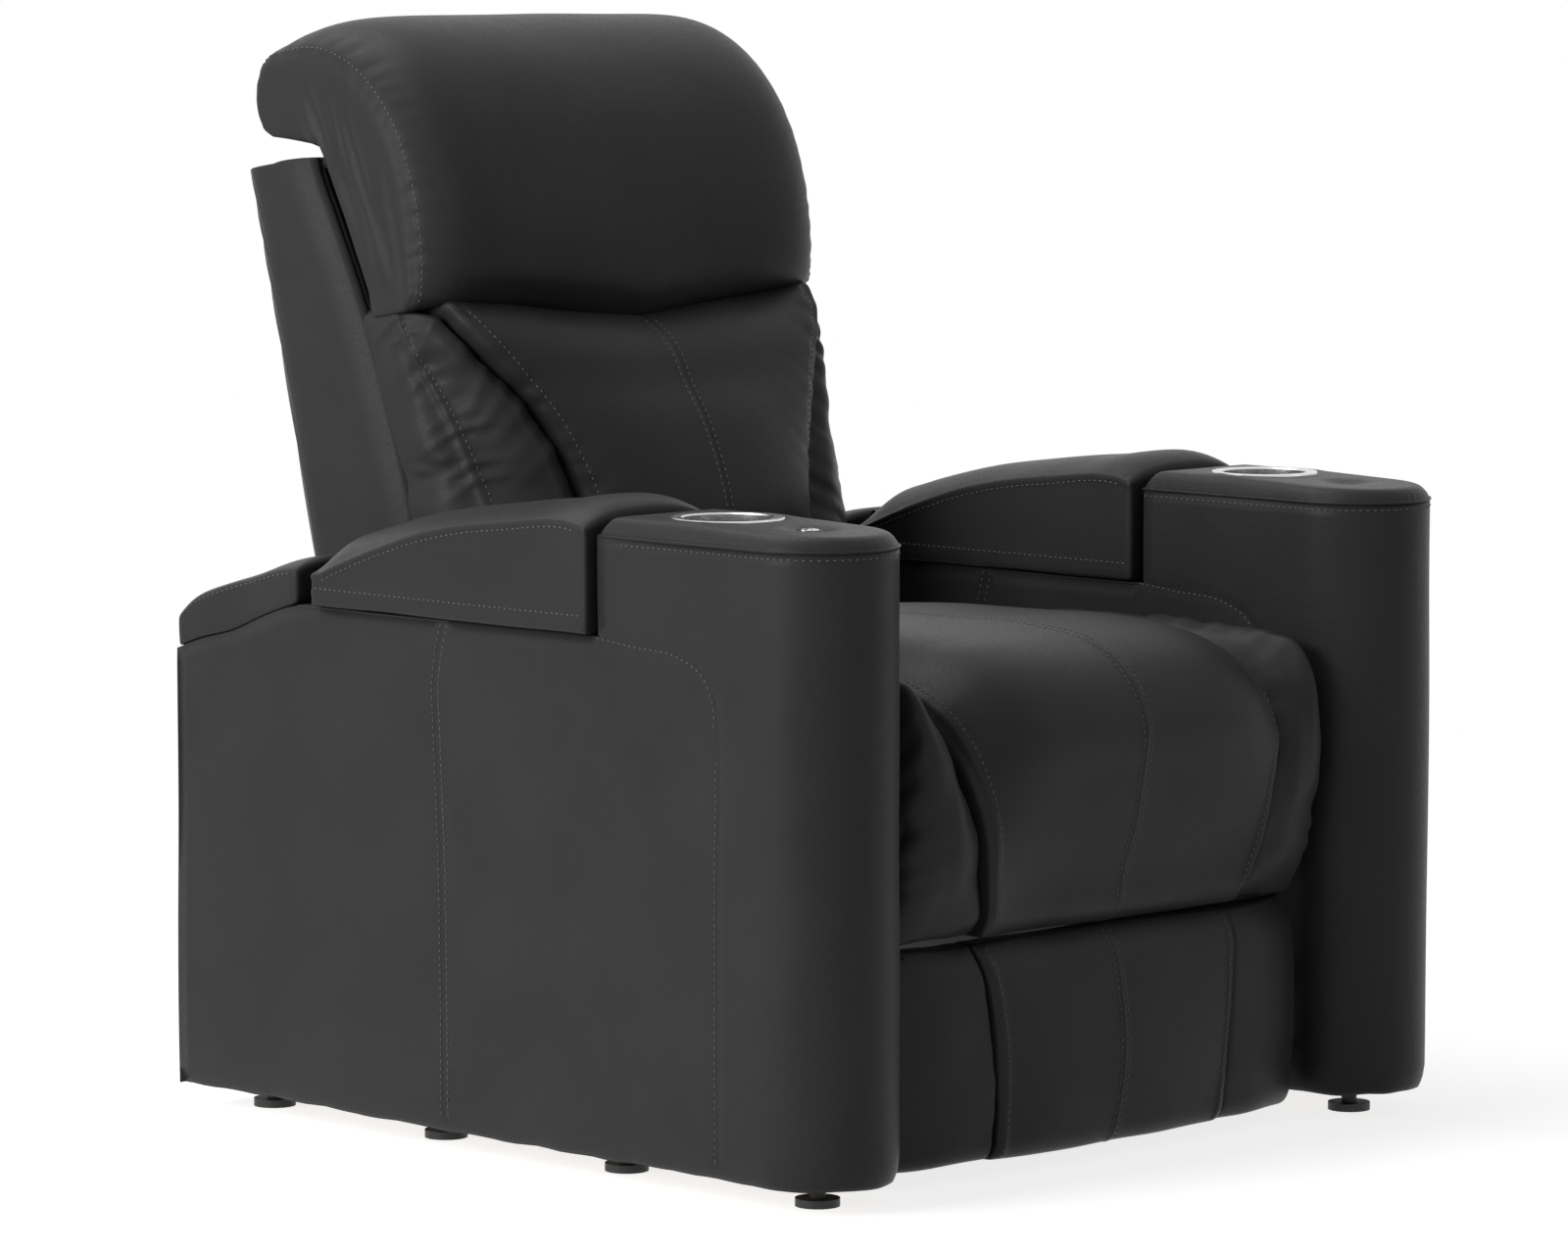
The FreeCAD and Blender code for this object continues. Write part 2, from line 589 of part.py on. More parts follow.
def lid_hinge_post():
    """Fixed hinge bracket on the arm's deck, with the pin through its two ears."""
    low, high = "sizes.tray_half_width * 0.42", "sizes.tray_half_width * 0.75"
    base = block("post_base", (f"{ARM_MIDDLE} - {high}", f"{ARM_MIDDLE} + {high}"),
                 (f"{HINGE_Y} - {KNUCKLE}", f"{HINGE_Y} + {KNUCKLE}"), (DECK, f"{DECK} + 3"))
    pin = rod("post_pin", "x", "sizes.lid_hinge_pin", (HINGE_Y, HINGE_Z),
              (f"{ARM_MIDDLE} - {high}", f"{ARM_MIDDLE} + {high}"))
    parts = [base, pin]
    for side, (start, end) in (("a", (f"-{high}", f"-{low}")), ("b", (low, high))):
        across = (f"{ARM_MIDDLE} + {start}", f"{ARM_MIDDLE} + {end}")
        parts.append(rod(f"post_eye_{side}", "x", KNUCKLE, (HINGE_Y, HINGE_Z), across))
        parts.append(block(f"post_ear_{side}", across,
                           (f"{HINGE_Y} - sizes.lid_hinge_pin", f"{HINGE_Y} + sizes.lid_hinge_pin"),
                           (DECK, HINGE_Z)))
    return fuse("lid_hinge_post_right", parts)


def rear_cap():
    """Padded cap that slopes down over the arm behind the lid."""
    low, high = value(f"-{OUTER}"), value(f"-{INNER}")
    front, rear = value(f"{CAP_FRONT} + 3"), value(REAR)
    deck, corner = value(DECK), value("sizes.cap_rear_height")
    knee = value(CAP_FRONT)
    slope = (deck - corner) / (rear - knee)
    foot = deck - slope * (front - knee) + 0.3
    thickness, crown = value("sizes.cap_thickness"), value("sizes.cap_crown")
    sections = []
    for x, share in stations(low, high, 9):
        lift = thickness + crown * (1 - abs(share) ** 3)
        sections.append((x, [
            (front, foot),
            (rear, corner + 0.3),
            (rear, corner + lift * 0.95, 7),
            (front, foot + lift),
        ]))
    return soft("arm_rear_cap_right", loft_along_x(sections))


keep("arm_cover_right", arm_cover())
keep("arm_frame_right", arm_frame())
pad = arm_top_pad()
keep("arm_top_pad_left", mirror("top_pad_left", pad))
keep("arm_top_pad_right", cut("top_pad_right", pad, control_pocket()))
keep("control_housing", control_housing())
keep("recline_button", push_button("recline_button", "-"))
keep("upright_button", push_button("upright_button", "+"))
keep("cup_holder_right", cup_holder())
keep("storage_tray_right", storage_tray())
keep("lid_pad_right", lid_pad())
keep("lid_board_right", lid_board("lid_board_right"))
keep("lid_hinge_leaf_right", lid_hinge_leaf())
keep("lid_hinge_post_right", lid_hinge_post())
keep("arm_rear_cap_right", rear_cap())

PLATE_OUT = f"({INNER} - sizes.rail_gauge - sizes.slide_width - sizes.slide_wall)"
PLATE_IN = f"({PLATE_OUT} - sizes.plate_gauge)"
SWING_OUT = f"({PLATE_IN} - 1)"
REACH_OUT = f"({SWING_OUT} - sizes.plate_gauge - 1)"
BRACKET_OUT = f"({REACH_OUT} - sizes.plate_gauge - 1)"
SWING_AXIS = ("sizes.swing_axis_y", "sizes.swing_axis_z")
ELBOW = ("sizes.elbow_y", "sizes.elbow_z")
BOARD_PIVOT = ("sizes.board_pivot_y", "sizes.board_pivot_z")
BACK_AXIS = ("sizes.back_axis_y", "sizes.back_axis_z")
HEAD_AXIS = ("sizes.head_axis_y", "sizes.head_axis_z")


def base_rail():
    """Steel angle along the foot of the right arm's inner face."""
    low = "sizes.foot_height"
    corners = [
        (f"-{INNER}", low),
        (f"-{INNER} + sizes.rail_flange", low),
        (f"-{INNER} + sizes.rail_flange", f"{low} + sizes.rail_gauge"),
        (f"-{INNER} + sizes.rail_gauge", f"{low} + sizes.rail_gauge"),
        (f"-{INNER} + sizes.rail_gauge", f"{low} + sizes.rail_height"),
        (f"-{INNER}", f"{low} + sizes.rail_height"),
    ]
    angle = plate("rail_angle", "xz", corners, ("sizes.rail_front", "sizes.rail_rear"))
    return cut("base_rail_bored", angle, group("rail_holes", bolt_holes("rail")))


def base_cross_tubes():
    """Two square tubes that tie the base rails."""
    tubes = []
    low = "sizes.foot_height + sizes.rail_gauge"
    ends = (f"-{INNER} + sizes.rail_gauge", f"{INNER} - sizes.rail_gauge")
    places = {"front": "sizes.rail_front + 8", "rear": "sizes.rail_rear - 40"}
    for name, place in places.items():
        outer = block(f"cross_{name}_outer", ends, (place, f"{place} + sizes.cross_tube"),
                      (low, f"{low} + sizes.cross_tube"))
        inner = block(f"cross_{name}_inner", (f"{ends[0]} - 1", f"{ends[1]} + 1"),
                      (f"{place} + sizes.tube_wall", f"{place} + sizes.cross_tube - sizes.tube_wall"),
                      (f"{low} + sizes.tube_wall", f"{low} + sizes.cross_tube - sizes.tube_wall"))
        tubes.append(cut(f"cross_tube_{name}", outer, inner))
    return group("base_cross_tubes", tubes)


def slide_rail():
    """Channel on the base rail, open towards the seat."""
    left = f"-{INNER} + sizes.rail_gauge"
    right = f"{left} + sizes.slide_width"
    low, high = "sizes.slide_level", "sizes.slide_level + sizes.slide_height"
    wall = "sizes.slide_wall"
    corners = [
        (left, low),
        (right, low),
        (right, f"{low} + {wall}"),
        (f"{left} + {wall}", f"{low} + {wall}"),
        (f"{left} + {wall}", f"{high} - {wall}"),
        (right, f"{high} - {wall}"),
        (right, high),
        (left, high),
    ]
    return plate("slide_rail", "xz", corners, ("sizes.slide_front", "sizes.slide_rear"))


def slide_runner():
    """Bar that runs in the slide rail and carries the side plate."""
    wall = "(sizes.slide_wall + sizes.slide_play)"
    return block("slide_runner",
                 (f"-{INNER} + sizes.rail_gauge + {wall}", f"-{PLATE_OUT}"),
                 ("sizes.slide_front + 100", "sizes.slide_rear - 30"),
                 (f"sizes.slide_level + {wall}", f"sizes.slide_level + sizes.slide_height - {wall}"))


def glide_feet():
    """Eight glides, four under each arm."""
    feet = []
    for index in range(4):
        place = f"{NOSE} + ({REAR} - {NOSE} - 60) * {index} / 3"
        for name, sign in (("right", ""), ("left", "-")):
            centre = (f"{sign}{ARM_MIDDLE}", place)
            disc = rod(f"glide_{name}_{index}", "z", "sizes.foot_radius", centre, ("0", "8"))
            stem = rod(f"glide_stem_{name}_{index}", "z", "sizes.foot_stem", centre,
                       ("0", "sizes.foot_height"))
            feet.append(fuse(f"foot_{name}_{index}", [disc, stem]))
    return group("glide_feet", feet)


def arm_bolts():
    """Bolts with round heads that hold the base rails to the arms."""
    bolts = []
    for index, place in enumerate(BOLT_PLACES):
        centre = (place, BOLT_LEVEL)
        head = rod(f"bolt_head_{index}", "x", "sizes.bolt_radius * 1.7", centre,
                   (f"-{INNER} + sizes.rail_gauge", f"-{INNER} + sizes.rail_gauge + 4"))
        shank = rod(f"bolt_shank_{index}", "x", "sizes.bolt_radius", centre,
                    (f"-{INNER} - {SKIN} - sizes.frame_board", f"-{INNER} + sizes.rail_gauge + 2"))
        bolt = fuse(f"bolt_{index}", [head, shank])
        bolts += [bolt, mirror(f"bolt_left_{index}", bolt)]
    return group("arm_bolts", bolts)


def power_inlet():
    """Inlet housing on the rear cross tube, with a round socket that faces rearwards."""
    left = f"-{INNER} + 60"
    rear = "sizes.rail_rear - 40 + sizes.cross_tube"
    low = "sizes.foot_height + sizes.rail_gauge + sizes.cross_tube"
    housing = block("inlet_housing", (left, f"{left} + 34"), (f"{rear} - 30", f"{rear} + 10"),
                    (low, f"{low} + 26"))
    socket = rod("inlet_socket", "y", "5", (f"{left} + 17", f"{low} + 13"),
                 (f"{rear} - 4", f"{rear} + 11"))
    return cut("power_inlet", housing, socket)


def side_plate():
    """Steel plate at the right of the seat, with the bores of both main pivots."""
    floor = "sizes.slide_level + sizes.slide_wall + sizes.slide_play"
    top = "sizes.seat_frame_level + sizes.seat_frame_depth"
    back_y, back_z = BACK_AXIS
    swing_y, swing_z = SWING_AXIS
    corners = [
        ("sizes.slide_front + 110", floor),
        ("sizes.slide_rear - 40", floor),
        (f"{back_y} + 22", f"{back_z} - 15"),
        (f"{back_y} + 22", f"{back_z} + 15"),
        (f"{back_y} - 20", f"{back_z} + 22"),
        ("sizes.seat_frame_rear + 10", top),
        (f"{swing_y} - 55", top),
        (f"{swing_y} - 55", "sizes.seat_frame_level"),
        (f"{swing_y} - 22", f"{swing_z} - 20"),
    ]
    middle = f"(sizes.slide_level + {swing_z}) / 2 + 20"
    holes = [
        (swing_y, swing_z, "sizes.pivot_pin + 1 + sizes.pivot_play"),
        (back_y, back_z, "sizes.back_pin + sizes.pivot_play"),
        (f"{swing_y} + 130", middle, "sizes.plate_window"),
        (f"{swing_y} + 250", middle, "sizes.plate_window"),
    ]
    return plate("side_plate", "yz", corners, (f"-{PLATE_OUT}", f"-{PLATE_IN}"), holes)


def carriage_tubes():
    """Two round tubes between the side plates."""
    tubes = []
    places = {"front": (f"{SWING_AXIS[0]} + 215", f"{SWING_AXIS[1]} + 16"),
              "rear": ("sizes.back_axis_y - 65", "sizes.slide_level + 40")}
    for name, centre in places.items():
        span = (f"-{PLATE_IN}", PLATE_IN)
        outer = rod(f"carriage_{name}_outer", "x", "12.5", centre, span)
        inner = rod(f"carriage_{name}_inner", "x", "12.5 - sizes.tube_wall", centre, span)
        tubes.append(cut(f"carriage_tube_{name}", outer, inner))
    return group("carriage_tubes", tubes)


FRAME_TOP = "(sizes.seat_frame_level + sizes.seat_frame_depth)"
CROSS_RAIL = "(sizes.seat_frame_front + 254)"


def seat_frame():
    """Timber ring with a middle rail and a front board behind the seat's fall."""
    height = ("sizes.seat_frame_level", FRAME_TOP)
    rail = "sizes.seat_frame_rail"
    wide = (f"-{PLATE_IN}", PLATE_IN)
    parts = [
        block("ring_front", wide, ("sizes.seat_frame_front", f"sizes.seat_frame_front + {rail}"), height),
        block("ring_middle", wide, (CROSS_RAIL, f"{CROSS_RAIL} + {rail}"), height),
        block("ring_rear", wide, (f"sizes.seat_frame_rear - {rail}", "sizes.seat_frame_rear"), height),
        block("ring_right", (wide[0], f"{wide[0]} + {rail}"),
              ("sizes.seat_frame_front", "sizes.seat_frame_rear"), height),
        block("ring_left", (f"{wide[1]} - {rail}", wide[1]),
              ("sizes.seat_frame_front", "sizes.seat_frame_rear"), height),
        block("ring_front_board", wide,
              ("sizes.seat_frame_front", "sizes.seat_frame_front + sizes.frame_board"),
              ("sizes.seat_fall_level + 8", FRAME_TOP)),
    ]
    return fuse("seat_frame", parts)


def sinuous(name, length, half_width, places, placement):
    """Flat zigzag springs of round wire: straight bars joined by half turns."""
    radius = value("sizes.spring_wire")
    pitch = 22
    turns = int(length // pitch)
    springs = []
    for middle in places:
        edges = []
        for index in range(turns):
            along = index * pitch
            side = half_width if index % 2 == 0 else -half_width
            edges.append(Part.LineSegment(
                Vector(middle - side, along, 0), Vector(middle + side, along, 0)).toShape())
            if index < turns - 1:
                reach = math.copysign(pitch / 2, side)
                edges.append(Part.Arc(
                    Vector(middle + side, along, 0),
                    Vector(middle + side + reach, along + pitch / 2, 0),
                    Vector(middle + side, along + pitch, 0)).toShape())
        path = Part.Wire(edges)
        start = Vector(middle - half_width, 0, 0)
        ring = Part.Wire(Part.Circle(start, Vector(1, 0, 0), radius).toShape())
        springs.append(path.makePipeShell([ring], True, False))
    piece = soft(name, Part.makeCompound(springs))
    piece.Placement = placement
    return piece


def seat_springs():
    """Five springs from the front rail to the rear rail."""
    front = value("sizes.seat_frame_front") + 20
    length = value("sizes.seat_frame_rear - sizes.seat_frame_front") - 30
    level = value(FRAME_TOP) + value("sizes.spring_wire")
    spread = value("sizes.seat_panel_half") * 0.45
    places = [spread * step for step in (-2, -1, 0, 1, 2)]
    return sinuous("seat_springs", length, 20, places, Placement(Vector(0, front, level), Rotation()))


def seat_outline(top, rear_top, nose, nose_level, foot):
    """Side view of a seat cushion: underside, fall at the front, rolled nose and flat top."""
    under = value(FRAME_TOP) + 2 * value("sizes.spring_wire") + 0.4
    behind = value("sizes.seat_frame_front") - 1
    fall = value("sizes.seat_fall_level")
    rear, shoulder = value("sizes.seat_rear"), value("sizes.seat_shoulder")
    return [
        (rear, under),
        (rear, rear_top, 4),
        (shoulder, top, 26),
        (nose, nose_level, 8),
        (foot, fall),
        (behind, fall),
        (behind, under),
    ]


def seat_centre():
    """Centre cushion: crowned, rolled at its side seams, falling over the front."""
    half = value("sizes.seat_panel_half")
    height, nose = value("sizes.seat_height"), value("sizes.seat_nose")
    sections = []
    for x, share in stations(-half, half, 13):
        drop = abs(share) ** 7
        sections.append((x, seat_outline(
            height - 42 * drop, height - 18 - 30 * drop, nose + 14 * drop, height - 88 - 20 * drop,
            nose + 44 + 6 * drop)))
    return soft("seat_centre_cushion", loft_along_x(sections))


def seat_bolster():
    """Cushion between the centre cushion and the right arm."""
    inner = -value("sizes.seat_panel_half") - 1
    outer = -value(f"{INNER} - sizes.seat_side_gap")
    height, nose = value("sizes.seat_height"), value("sizes.seat_nose")
    sections = []
    for x, share in stations(outer, inner, 7):
        drop = 0.45 + 0.55 * share ** 4
        back = 2.1 - 1.1 * share
        sections.append((x, seat_outline(
            height - 44 * drop, height - 18 - 32 * drop, nose + 14 * back, height - 112,
            nose + 44 + 8 * back)))
    return soft("seat_bolster_right", loft_along_x(sections))


FOOTREST_DROP = "sizes.footrest_drop"
RECLINE_DROP = "sizes.recline_drop"


MOTOR_HALF = "(sizes.motor_height / 2)"


def actuator(name, x, level, motor, tube_end, hanger):
    """Motor block with a tube along Y, hung from the seat frame."""
    low, high = motor
    parts = [
        block(f"{name}_motor", (f"{x} - sizes.motor_width / 2", f"{x} + sizes.motor_width / 2"),
              (low, high), (f"{level} - {MOTOR_HALF}", f"{level} + {MOTOR_HALF}")),
        block(f"{name}_hanger", (f"{x} - 12", f"{x} + 12"), (hanger, f"{hanger} + 20"),
              (f"{level} + {MOTOR_HALF}", "sizes.seat_frame_level")),
    ]
    forward = value(tube_end) < value(low)
    tube_span = (tube_end, low) if forward else (high, tube_end)
    bore_span = (f"{tube_end} - 1", f"{low} + 12") if forward else (f"{high} - 12", f"{tube_end} + 1")
    parts.append(rod(f"{name}_tube", "y", "sizes.actuator_tube", (x, level), tube_span))
    body = fuse(f"{name}_body", parts)
    bore = rod(f"{name}_bore", "y", "sizes.actuator_rod + sizes.pivot_play", (x, level), bore_span)
    return cut(name, body, bore)


def actuator_rod(name, x, level, span, pin_y, pin_span):
    """Round rod with a cross pin near its end."""
    bar = rod(f"{name}_bar", "y", "sizes.actuator_rod", (x, level), span)
    pin = rod(f"{name}_pin", "x", "sizes.pivot_pin - 1", (pin_y, level), pin_span)
    return fuse(name, [bar, pin])


RECLINE_X = "(-sizes.actuator_spread)"
RECLINE_LEVEL = f"(sizes.back_axis_z - {RECLINE_DROP})"
FOOTREST_X = "sizes.actuator_spread"
FOOTREST_LEVEL = f"(sizes.swing_axis_z - {FOOTREST_DROP})"
LUG_GAP = "(sizes.actuator_rod + 2)"
LUG_GAUGE = "sizes.lug_gauge"


def slotted_lug(name, axis, angle, near, far, half_slot, span):
    """Lug that hangs from an axis at an angle below it, with a long slot for an actuator's pin."""
    y, z = axis
    along = (f"cos({angle})", f"sin({angle})")

    def corner(reach, side):
        return (f"{y} + ({reach}) * {along[0]} - ({side}) * {along[1]}",
                f"{z} + ({reach}) * {along[1]} + ({side}) * {along[0]}")

    wide = f"({half_slot} + 8)"
    outline = [corner("0", f"-{wide}"), corner(f"{far} + 8", f"-{wide}"),
               corner(f"{far} + 8", wide), corner("0", wide)]
    slot = [corner(near, f"-{half_slot}"), corner(far, f"-{half_slot}"),
            corner(far, half_slot), corner(near, half_slot)]
    lug = plate(f"{name}_lug", "yz", outline, span)
    gap = plate(f"{name}_slot", "yz", slot, (f"{span[0]} - 1", f"{span[1]} + 1"))
    return cut(f"{name}_slotted", lug, gap)


def link(name, start, end, span):
    """Flat steel link with round ends between two pivots."""
    long = f"({end[0]} - ({start[0]}))"
    tall = f"({end[1]} - ({start[1]}))"
    length = f"sqrt({long} ^ 2 + {tall} ^ 2)"
    half = "sizes.link_width / 2"
    across = (f"(-{tall} / {length} * {half})", f"({long} / {length} * {half})")
    corners = [
        (f"{start[0]} + {across[0]}", f"{start[1]} + {across[1]}"),
        (f"{start[0]} - {across[0]}", f"{start[1]} - {across[1]}"),
        (f"{end[0]} - {across[0]}", f"{end[1]} - {across[1]}"),
        (f"{end[0]} + {across[0]}", f"{end[1]} + {across[1]}"),
    ]
    parts = [
        plate(f"{name}_bar", "yz", corners, span),
        rod(f"{name}_start", "x", "sizes.link_width / 2", start, span),
        rod(f"{name}_end", "x", "sizes.link_width / 2", end, span),
    ]
    return fuse(f"{name}_form", parts)


def swing_frame():
    """Two swing links on one torque tube, with a lug for the actuator."""
    outer, inner = f"-{SWING_OUT}", f"-{SWING_OUT} + sizes.plate_gauge"
    arm = link("swing_link", SWING_AXIS, ELBOW, (outer, inner))
    hole = rod("swing_elbow_hole", "x", "sizes.pivot_pin + sizes.pivot_play", ELBOW,
               (f"{outer} - 1", f"{inner} + 1"))
    right = cut("swing_link_right", arm, hole)
    spindle = "sizes.pivot_pin + 1"
    tube = rod("torque_tube", "x", "sizes.torque_tube", SWING_AXIS, (inner, f"-({inner})"))
    stub = rod("torque_spindle", "x", spindle, SWING_AXIS, (f"-{PLATE_OUT}", PLATE_OUT))
    lug = slotted_lug("swing", SWING_AXIS, "(sizes.swing_sweep / 2 - 90)", "24", "52", "8",
                      (f"{FOOTREST_X} + {LUG_GAP}", f"{FOOTREST_X} + {LUG_GAP} + {LUG_GAUGE}"))
    return fuse("footrest_swing_frame", [right, mirror("swing_link_left", right), tube, stub, lug])


def reach_links():
    """Pair of links from the swing frame to the footrest, each with its elbow pin."""
    outer, inner = f"-{REACH_OUT}", f"-{REACH_OUT} + sizes.plate_gauge"
    arm = link("reach_link", ELBOW, BOARD_PIVOT, (outer, inner))
    hole = rod("reach_board_hole", "x", "sizes.pivot_pin + sizes.pivot_play", BOARD_PIVOT,
               (f"{outer} - 1", f"{inner} + 1"))
    pin = rod("elbow_pin", "x", "sizes.pivot_pin", ELBOW, (f"-{SWING_OUT}", inner))
    right = fuse("reach_link_right", [cut("reach_link_bored", arm, hole), pin])
    return group("footrest_reach_links", [right, mirror("reach_link_left", right)])


BOARD_REAR = "(sizes.footrest_back + sizes.footrest_board)"


def footrest_brackets():
    """Pair of angle brackets on the back of the footrest's board, each with its pin."""
    outer, inner = f"-{BRACKET_OUT}", f"-{BRACKET_OUT} + sizes.plate_gauge"
    y, z = BOARD_PIVOT
    cheek = plate("bracket_cheek", "yz", [
        (BOARD_REAR, f"{z} - 40"), (f"{y} + 4", f"{z} - 10"), (f"{y} + 10", z),
        (f"{y} + 4", f"{z} + 10"), (BOARD_REAR, f"{z} + 40"),
    ], (outer, inner))
    flange = block("bracket_flange", (outer, f"{outer} + 30"), (BOARD_REAR, f"{BOARD_REAR} + 3"),
                   (f"{z} - 40", f"{z} + 40"))
    pin = rod("board_pin", "x", "sizes.pivot_pin", BOARD_PIVOT, (f"-{REACH_OUT}", inner))
    right = fuse("bracket_right", [cheek, flange, pin])
    return group("footrest_brackets", [right, mirror("bracket_left", right)])


def footrest_board():
    return block("footrest_board", ("-sizes.footrest_half + 20", "sizes.footrest_half - 20"),
                 ("sizes.footrest_back", BOARD_REAR),
                 ("sizes.footrest_bottom + 7", "sizes.footrest_top - 2"))


def footrest_outline(draw):
    """Side view of a footrest cushion; draw takes its front back towards the board."""
    back = value("sizes.footrest_back")
    nose, top, bottom = (value(f"sizes.footrest_{end}") for end in ("nose", "top", "bottom"))
    return [
        (back, bottom + 4),
        (back, top, 1),
        (back - 16, top, 3),
        (nose + 9 + draw, top - 31, 4),
        (nose + draw, (top + bottom) / 2, 5),
        (nose + 13 + draw * 0.9, bottom + 14, 2),
        (nose + 26 + draw * 0.5, bottom),
    ]


def footrest_centre():
    """Centre cushion of the footrest."""
    half = value("sizes.footrest_panel_half")
    sections = [(x, footrest_outline(9 * share ** 6)) for x, share in stations(-half, half, 11)]
    return soft("footrest_centre_cushion", loft_along_x(sections))


def footrest_side():
    """Pad between the centre cushion and the right end of the footrest."""
    inner = -value("sizes.footrest_panel_half") - 1
    outer = -value("sizes.footrest_half")
    sections = [(x, footrest_outline(13 + 5 * share ** 4 - 3 * share))
                for x, share in stations(outer, inner, 7)]
    return soft("footrest_side_pad_right", loft_along_x(sections))


rail = base_rail()
keep("base_rails", group("base_rail_pair", [rail, mirror("base_rail_left", rail)]))
keep("base_cross_tubes", base_cross_tubes())
channel = slide_rail()
keep("slide_rails", group("slide_rail_pair", [channel, mirror("slide_rail_left", channel)]))
keep("glide_feet", glide_feet())
keep("arm_bolts", arm_bolts())
keep("power_inlet", power_inlet())
keep("seat_side_plate_right", side_plate())
keep("carriage_tubes", carriage_tubes())
runner = slide_runner()
keep("slide_runners", group("slide_runner_pair", [runner, mirror("slide_runner_left", runner)]))
keep("seat_frame", seat_frame())
keep("seat_springs", seat_springs())
keep("seat_centre_cushion", seat_centre())
keep("seat_bolster_right", seat_bolster())
keep("recline_actuator", actuator(
    "recline_actuator", RECLINE_X, RECLINE_LEVEL, (CROSS_RAIL + " - 20", CROSS_RAIL + " + 60"),
    "sizes.back_axis_y - 95", CROSS_RAIL + " + 10"))
keep("recline_rod", actuator_rod(
    "recline_rod", RECLINE_X, RECLINE_LEVEL, ("sizes.back_axis_y - 215", "sizes.back_axis_y + 7"),
    "sizes.back_axis_y", (f"{RECLINE_X} - {LUG_GAP} - {LUG_GAUGE} - 3", RECLINE_X)))
PIN_START = f"(sizes.swing_axis_y + {FOOTREST_DROP} * tan(sizes.swing_sweep / 2))"
keep("footrest_actuator", actuator(
    "footrest_actuator", FOOTREST_X, FOOTREST_LEVEL,
    ("sizes.seat_frame_rear - 70", "sizes.seat_frame_rear"), "sizes.swing_axis_y + 125",
    "sizes.seat_frame_rear - 35"))
keep("footrest_rod", actuator_rod(
    "footrest_rod", FOOTREST_X, FOOTREST_LEVEL, (f"{PIN_START} - 7", "sizes.swing_axis_y + 295"),
    PIN_START, (FOOTREST_X, f"{FOOTREST_X} + {LUG_GAP} + {LUG_GAUGE} + 3")))
keep("footrest_swing_frame", swing_frame())
keep("footrest_reach_links", reach_links())
keep("footrest_brackets", footrest_brackets())
keep("footrest_board", footrest_board())
keep("footrest_centre_cushion", footrest_centre())
keep("footrest_side_pad_right", footrest_side())

LEAN = "tan(sizes.back_lean)"


def back_plane(level, depth):
    """Y of the leaning plane that lies some depth in front of the shell's rear."""
    return f"(sizes.shell_rear_y + (({level}) - sizes.shell_rear_z) * {LEAN} - ({depth}))"


# Front edge of the shell's side wings: level, then y ahead of the shell's rear plane
WING_EDGE = [("sizes.shell_bottom", "117"), ("520", "151"), ("619", "162"), ("701", "155"),
             ("825", "135.5"), ("sizes.shell_top", "sizes.wing_top_depth")]


def back_shell():
    """Upholstered rear panel with two side wings, open at the front and below."""
    wing = [(back_plane(level, depth), level) for level, depth in WING_EDGE]
    rear_top = "(sizes.shell_top - 25)"
    outline = [
        (back_plane("sizes.shell_bottom", "0"), "sizes.shell_bottom"),
        (back_plane(rear_top, "0"), rear_top),
        (back_plane("sizes.shell_top - 9", "55"), "sizes.shell_top - 9"),
    ] + list(reversed(wing))
    half = "sizes.shell_half"
    outside = plate("shell_outside", "yz", outline, (f"-{half}", half))
    wall = "sizes.shell_wall"
    cavity = [
        (back_plane("sizes.shell_bottom - 1", wall), "sizes.shell_bottom - 1"),
        (back_plane(rear_top + " - 14", wall), rear_top + " - 14"),
        (back_plane("sizes.shell_top - 24", "60"), "sizes.shell_top - 24"),
        (back_plane("sizes.shell_top - 16", "200"), "sizes.shell_top - 16"),
        (back_plane("sizes.shell_bottom - 1", "300"), "sizes.shell_bottom - 1"),
    ]
    inside = plate("shell_inside", "yz", cavity, (f"-{half} + {wall}", f"{half} - {wall}"))
    return cut("back_shell", outside, inside)


STILE_OUT = "(sizes.shell_half - sizes.shell_wall)"
MIDDLE_RAIL = "(sizes.head_axis_z - 16)"


def back_frame():
    """Plywood stiles and three rails, leaning with the back."""
    depth, wall = "sizes.back_frame_depth", "sizes.shell_wall"

    def slanted(name, levels, depths, span):
        low, high = levels
        near, far = depths
        corners = [(back_plane(low, near), low), (back_plane(low, far), low),
                   (back_plane(high, far), high), (back_plane(high, near), high)]
        return plate(name, "yz", corners, span)

    tall = ("sizes.back_frame_bottom", "sizes.back_frame_top")
    parts = [
        slanted("stile_right", tall, (depth, wall),
                (f"-{STILE_OUT}", f"-{STILE_OUT} + sizes.back_board")),
        slanted("stile_left", tall, (depth, wall),
                (f"{STILE_OUT} - sizes.back_board", STILE_OUT)),
    ]
    rails = {
        "low": "sizes.back_frame_bottom + 70",
        "middle": MIDDLE_RAIL,
        "high": "sizes.back_frame_top - sizes.back_rail_depth",
    }
    for name, level in rails.items():
        parts.append(slanted(f"rail_{name}", (level, f"{level} + sizes.back_rail_depth"),
                             (depth, f"{depth} - sizes.back_rail_depth"),
                             (f"-{STILE_OUT}", STILE_OUT)))
    return fuse("back_frame", parts)


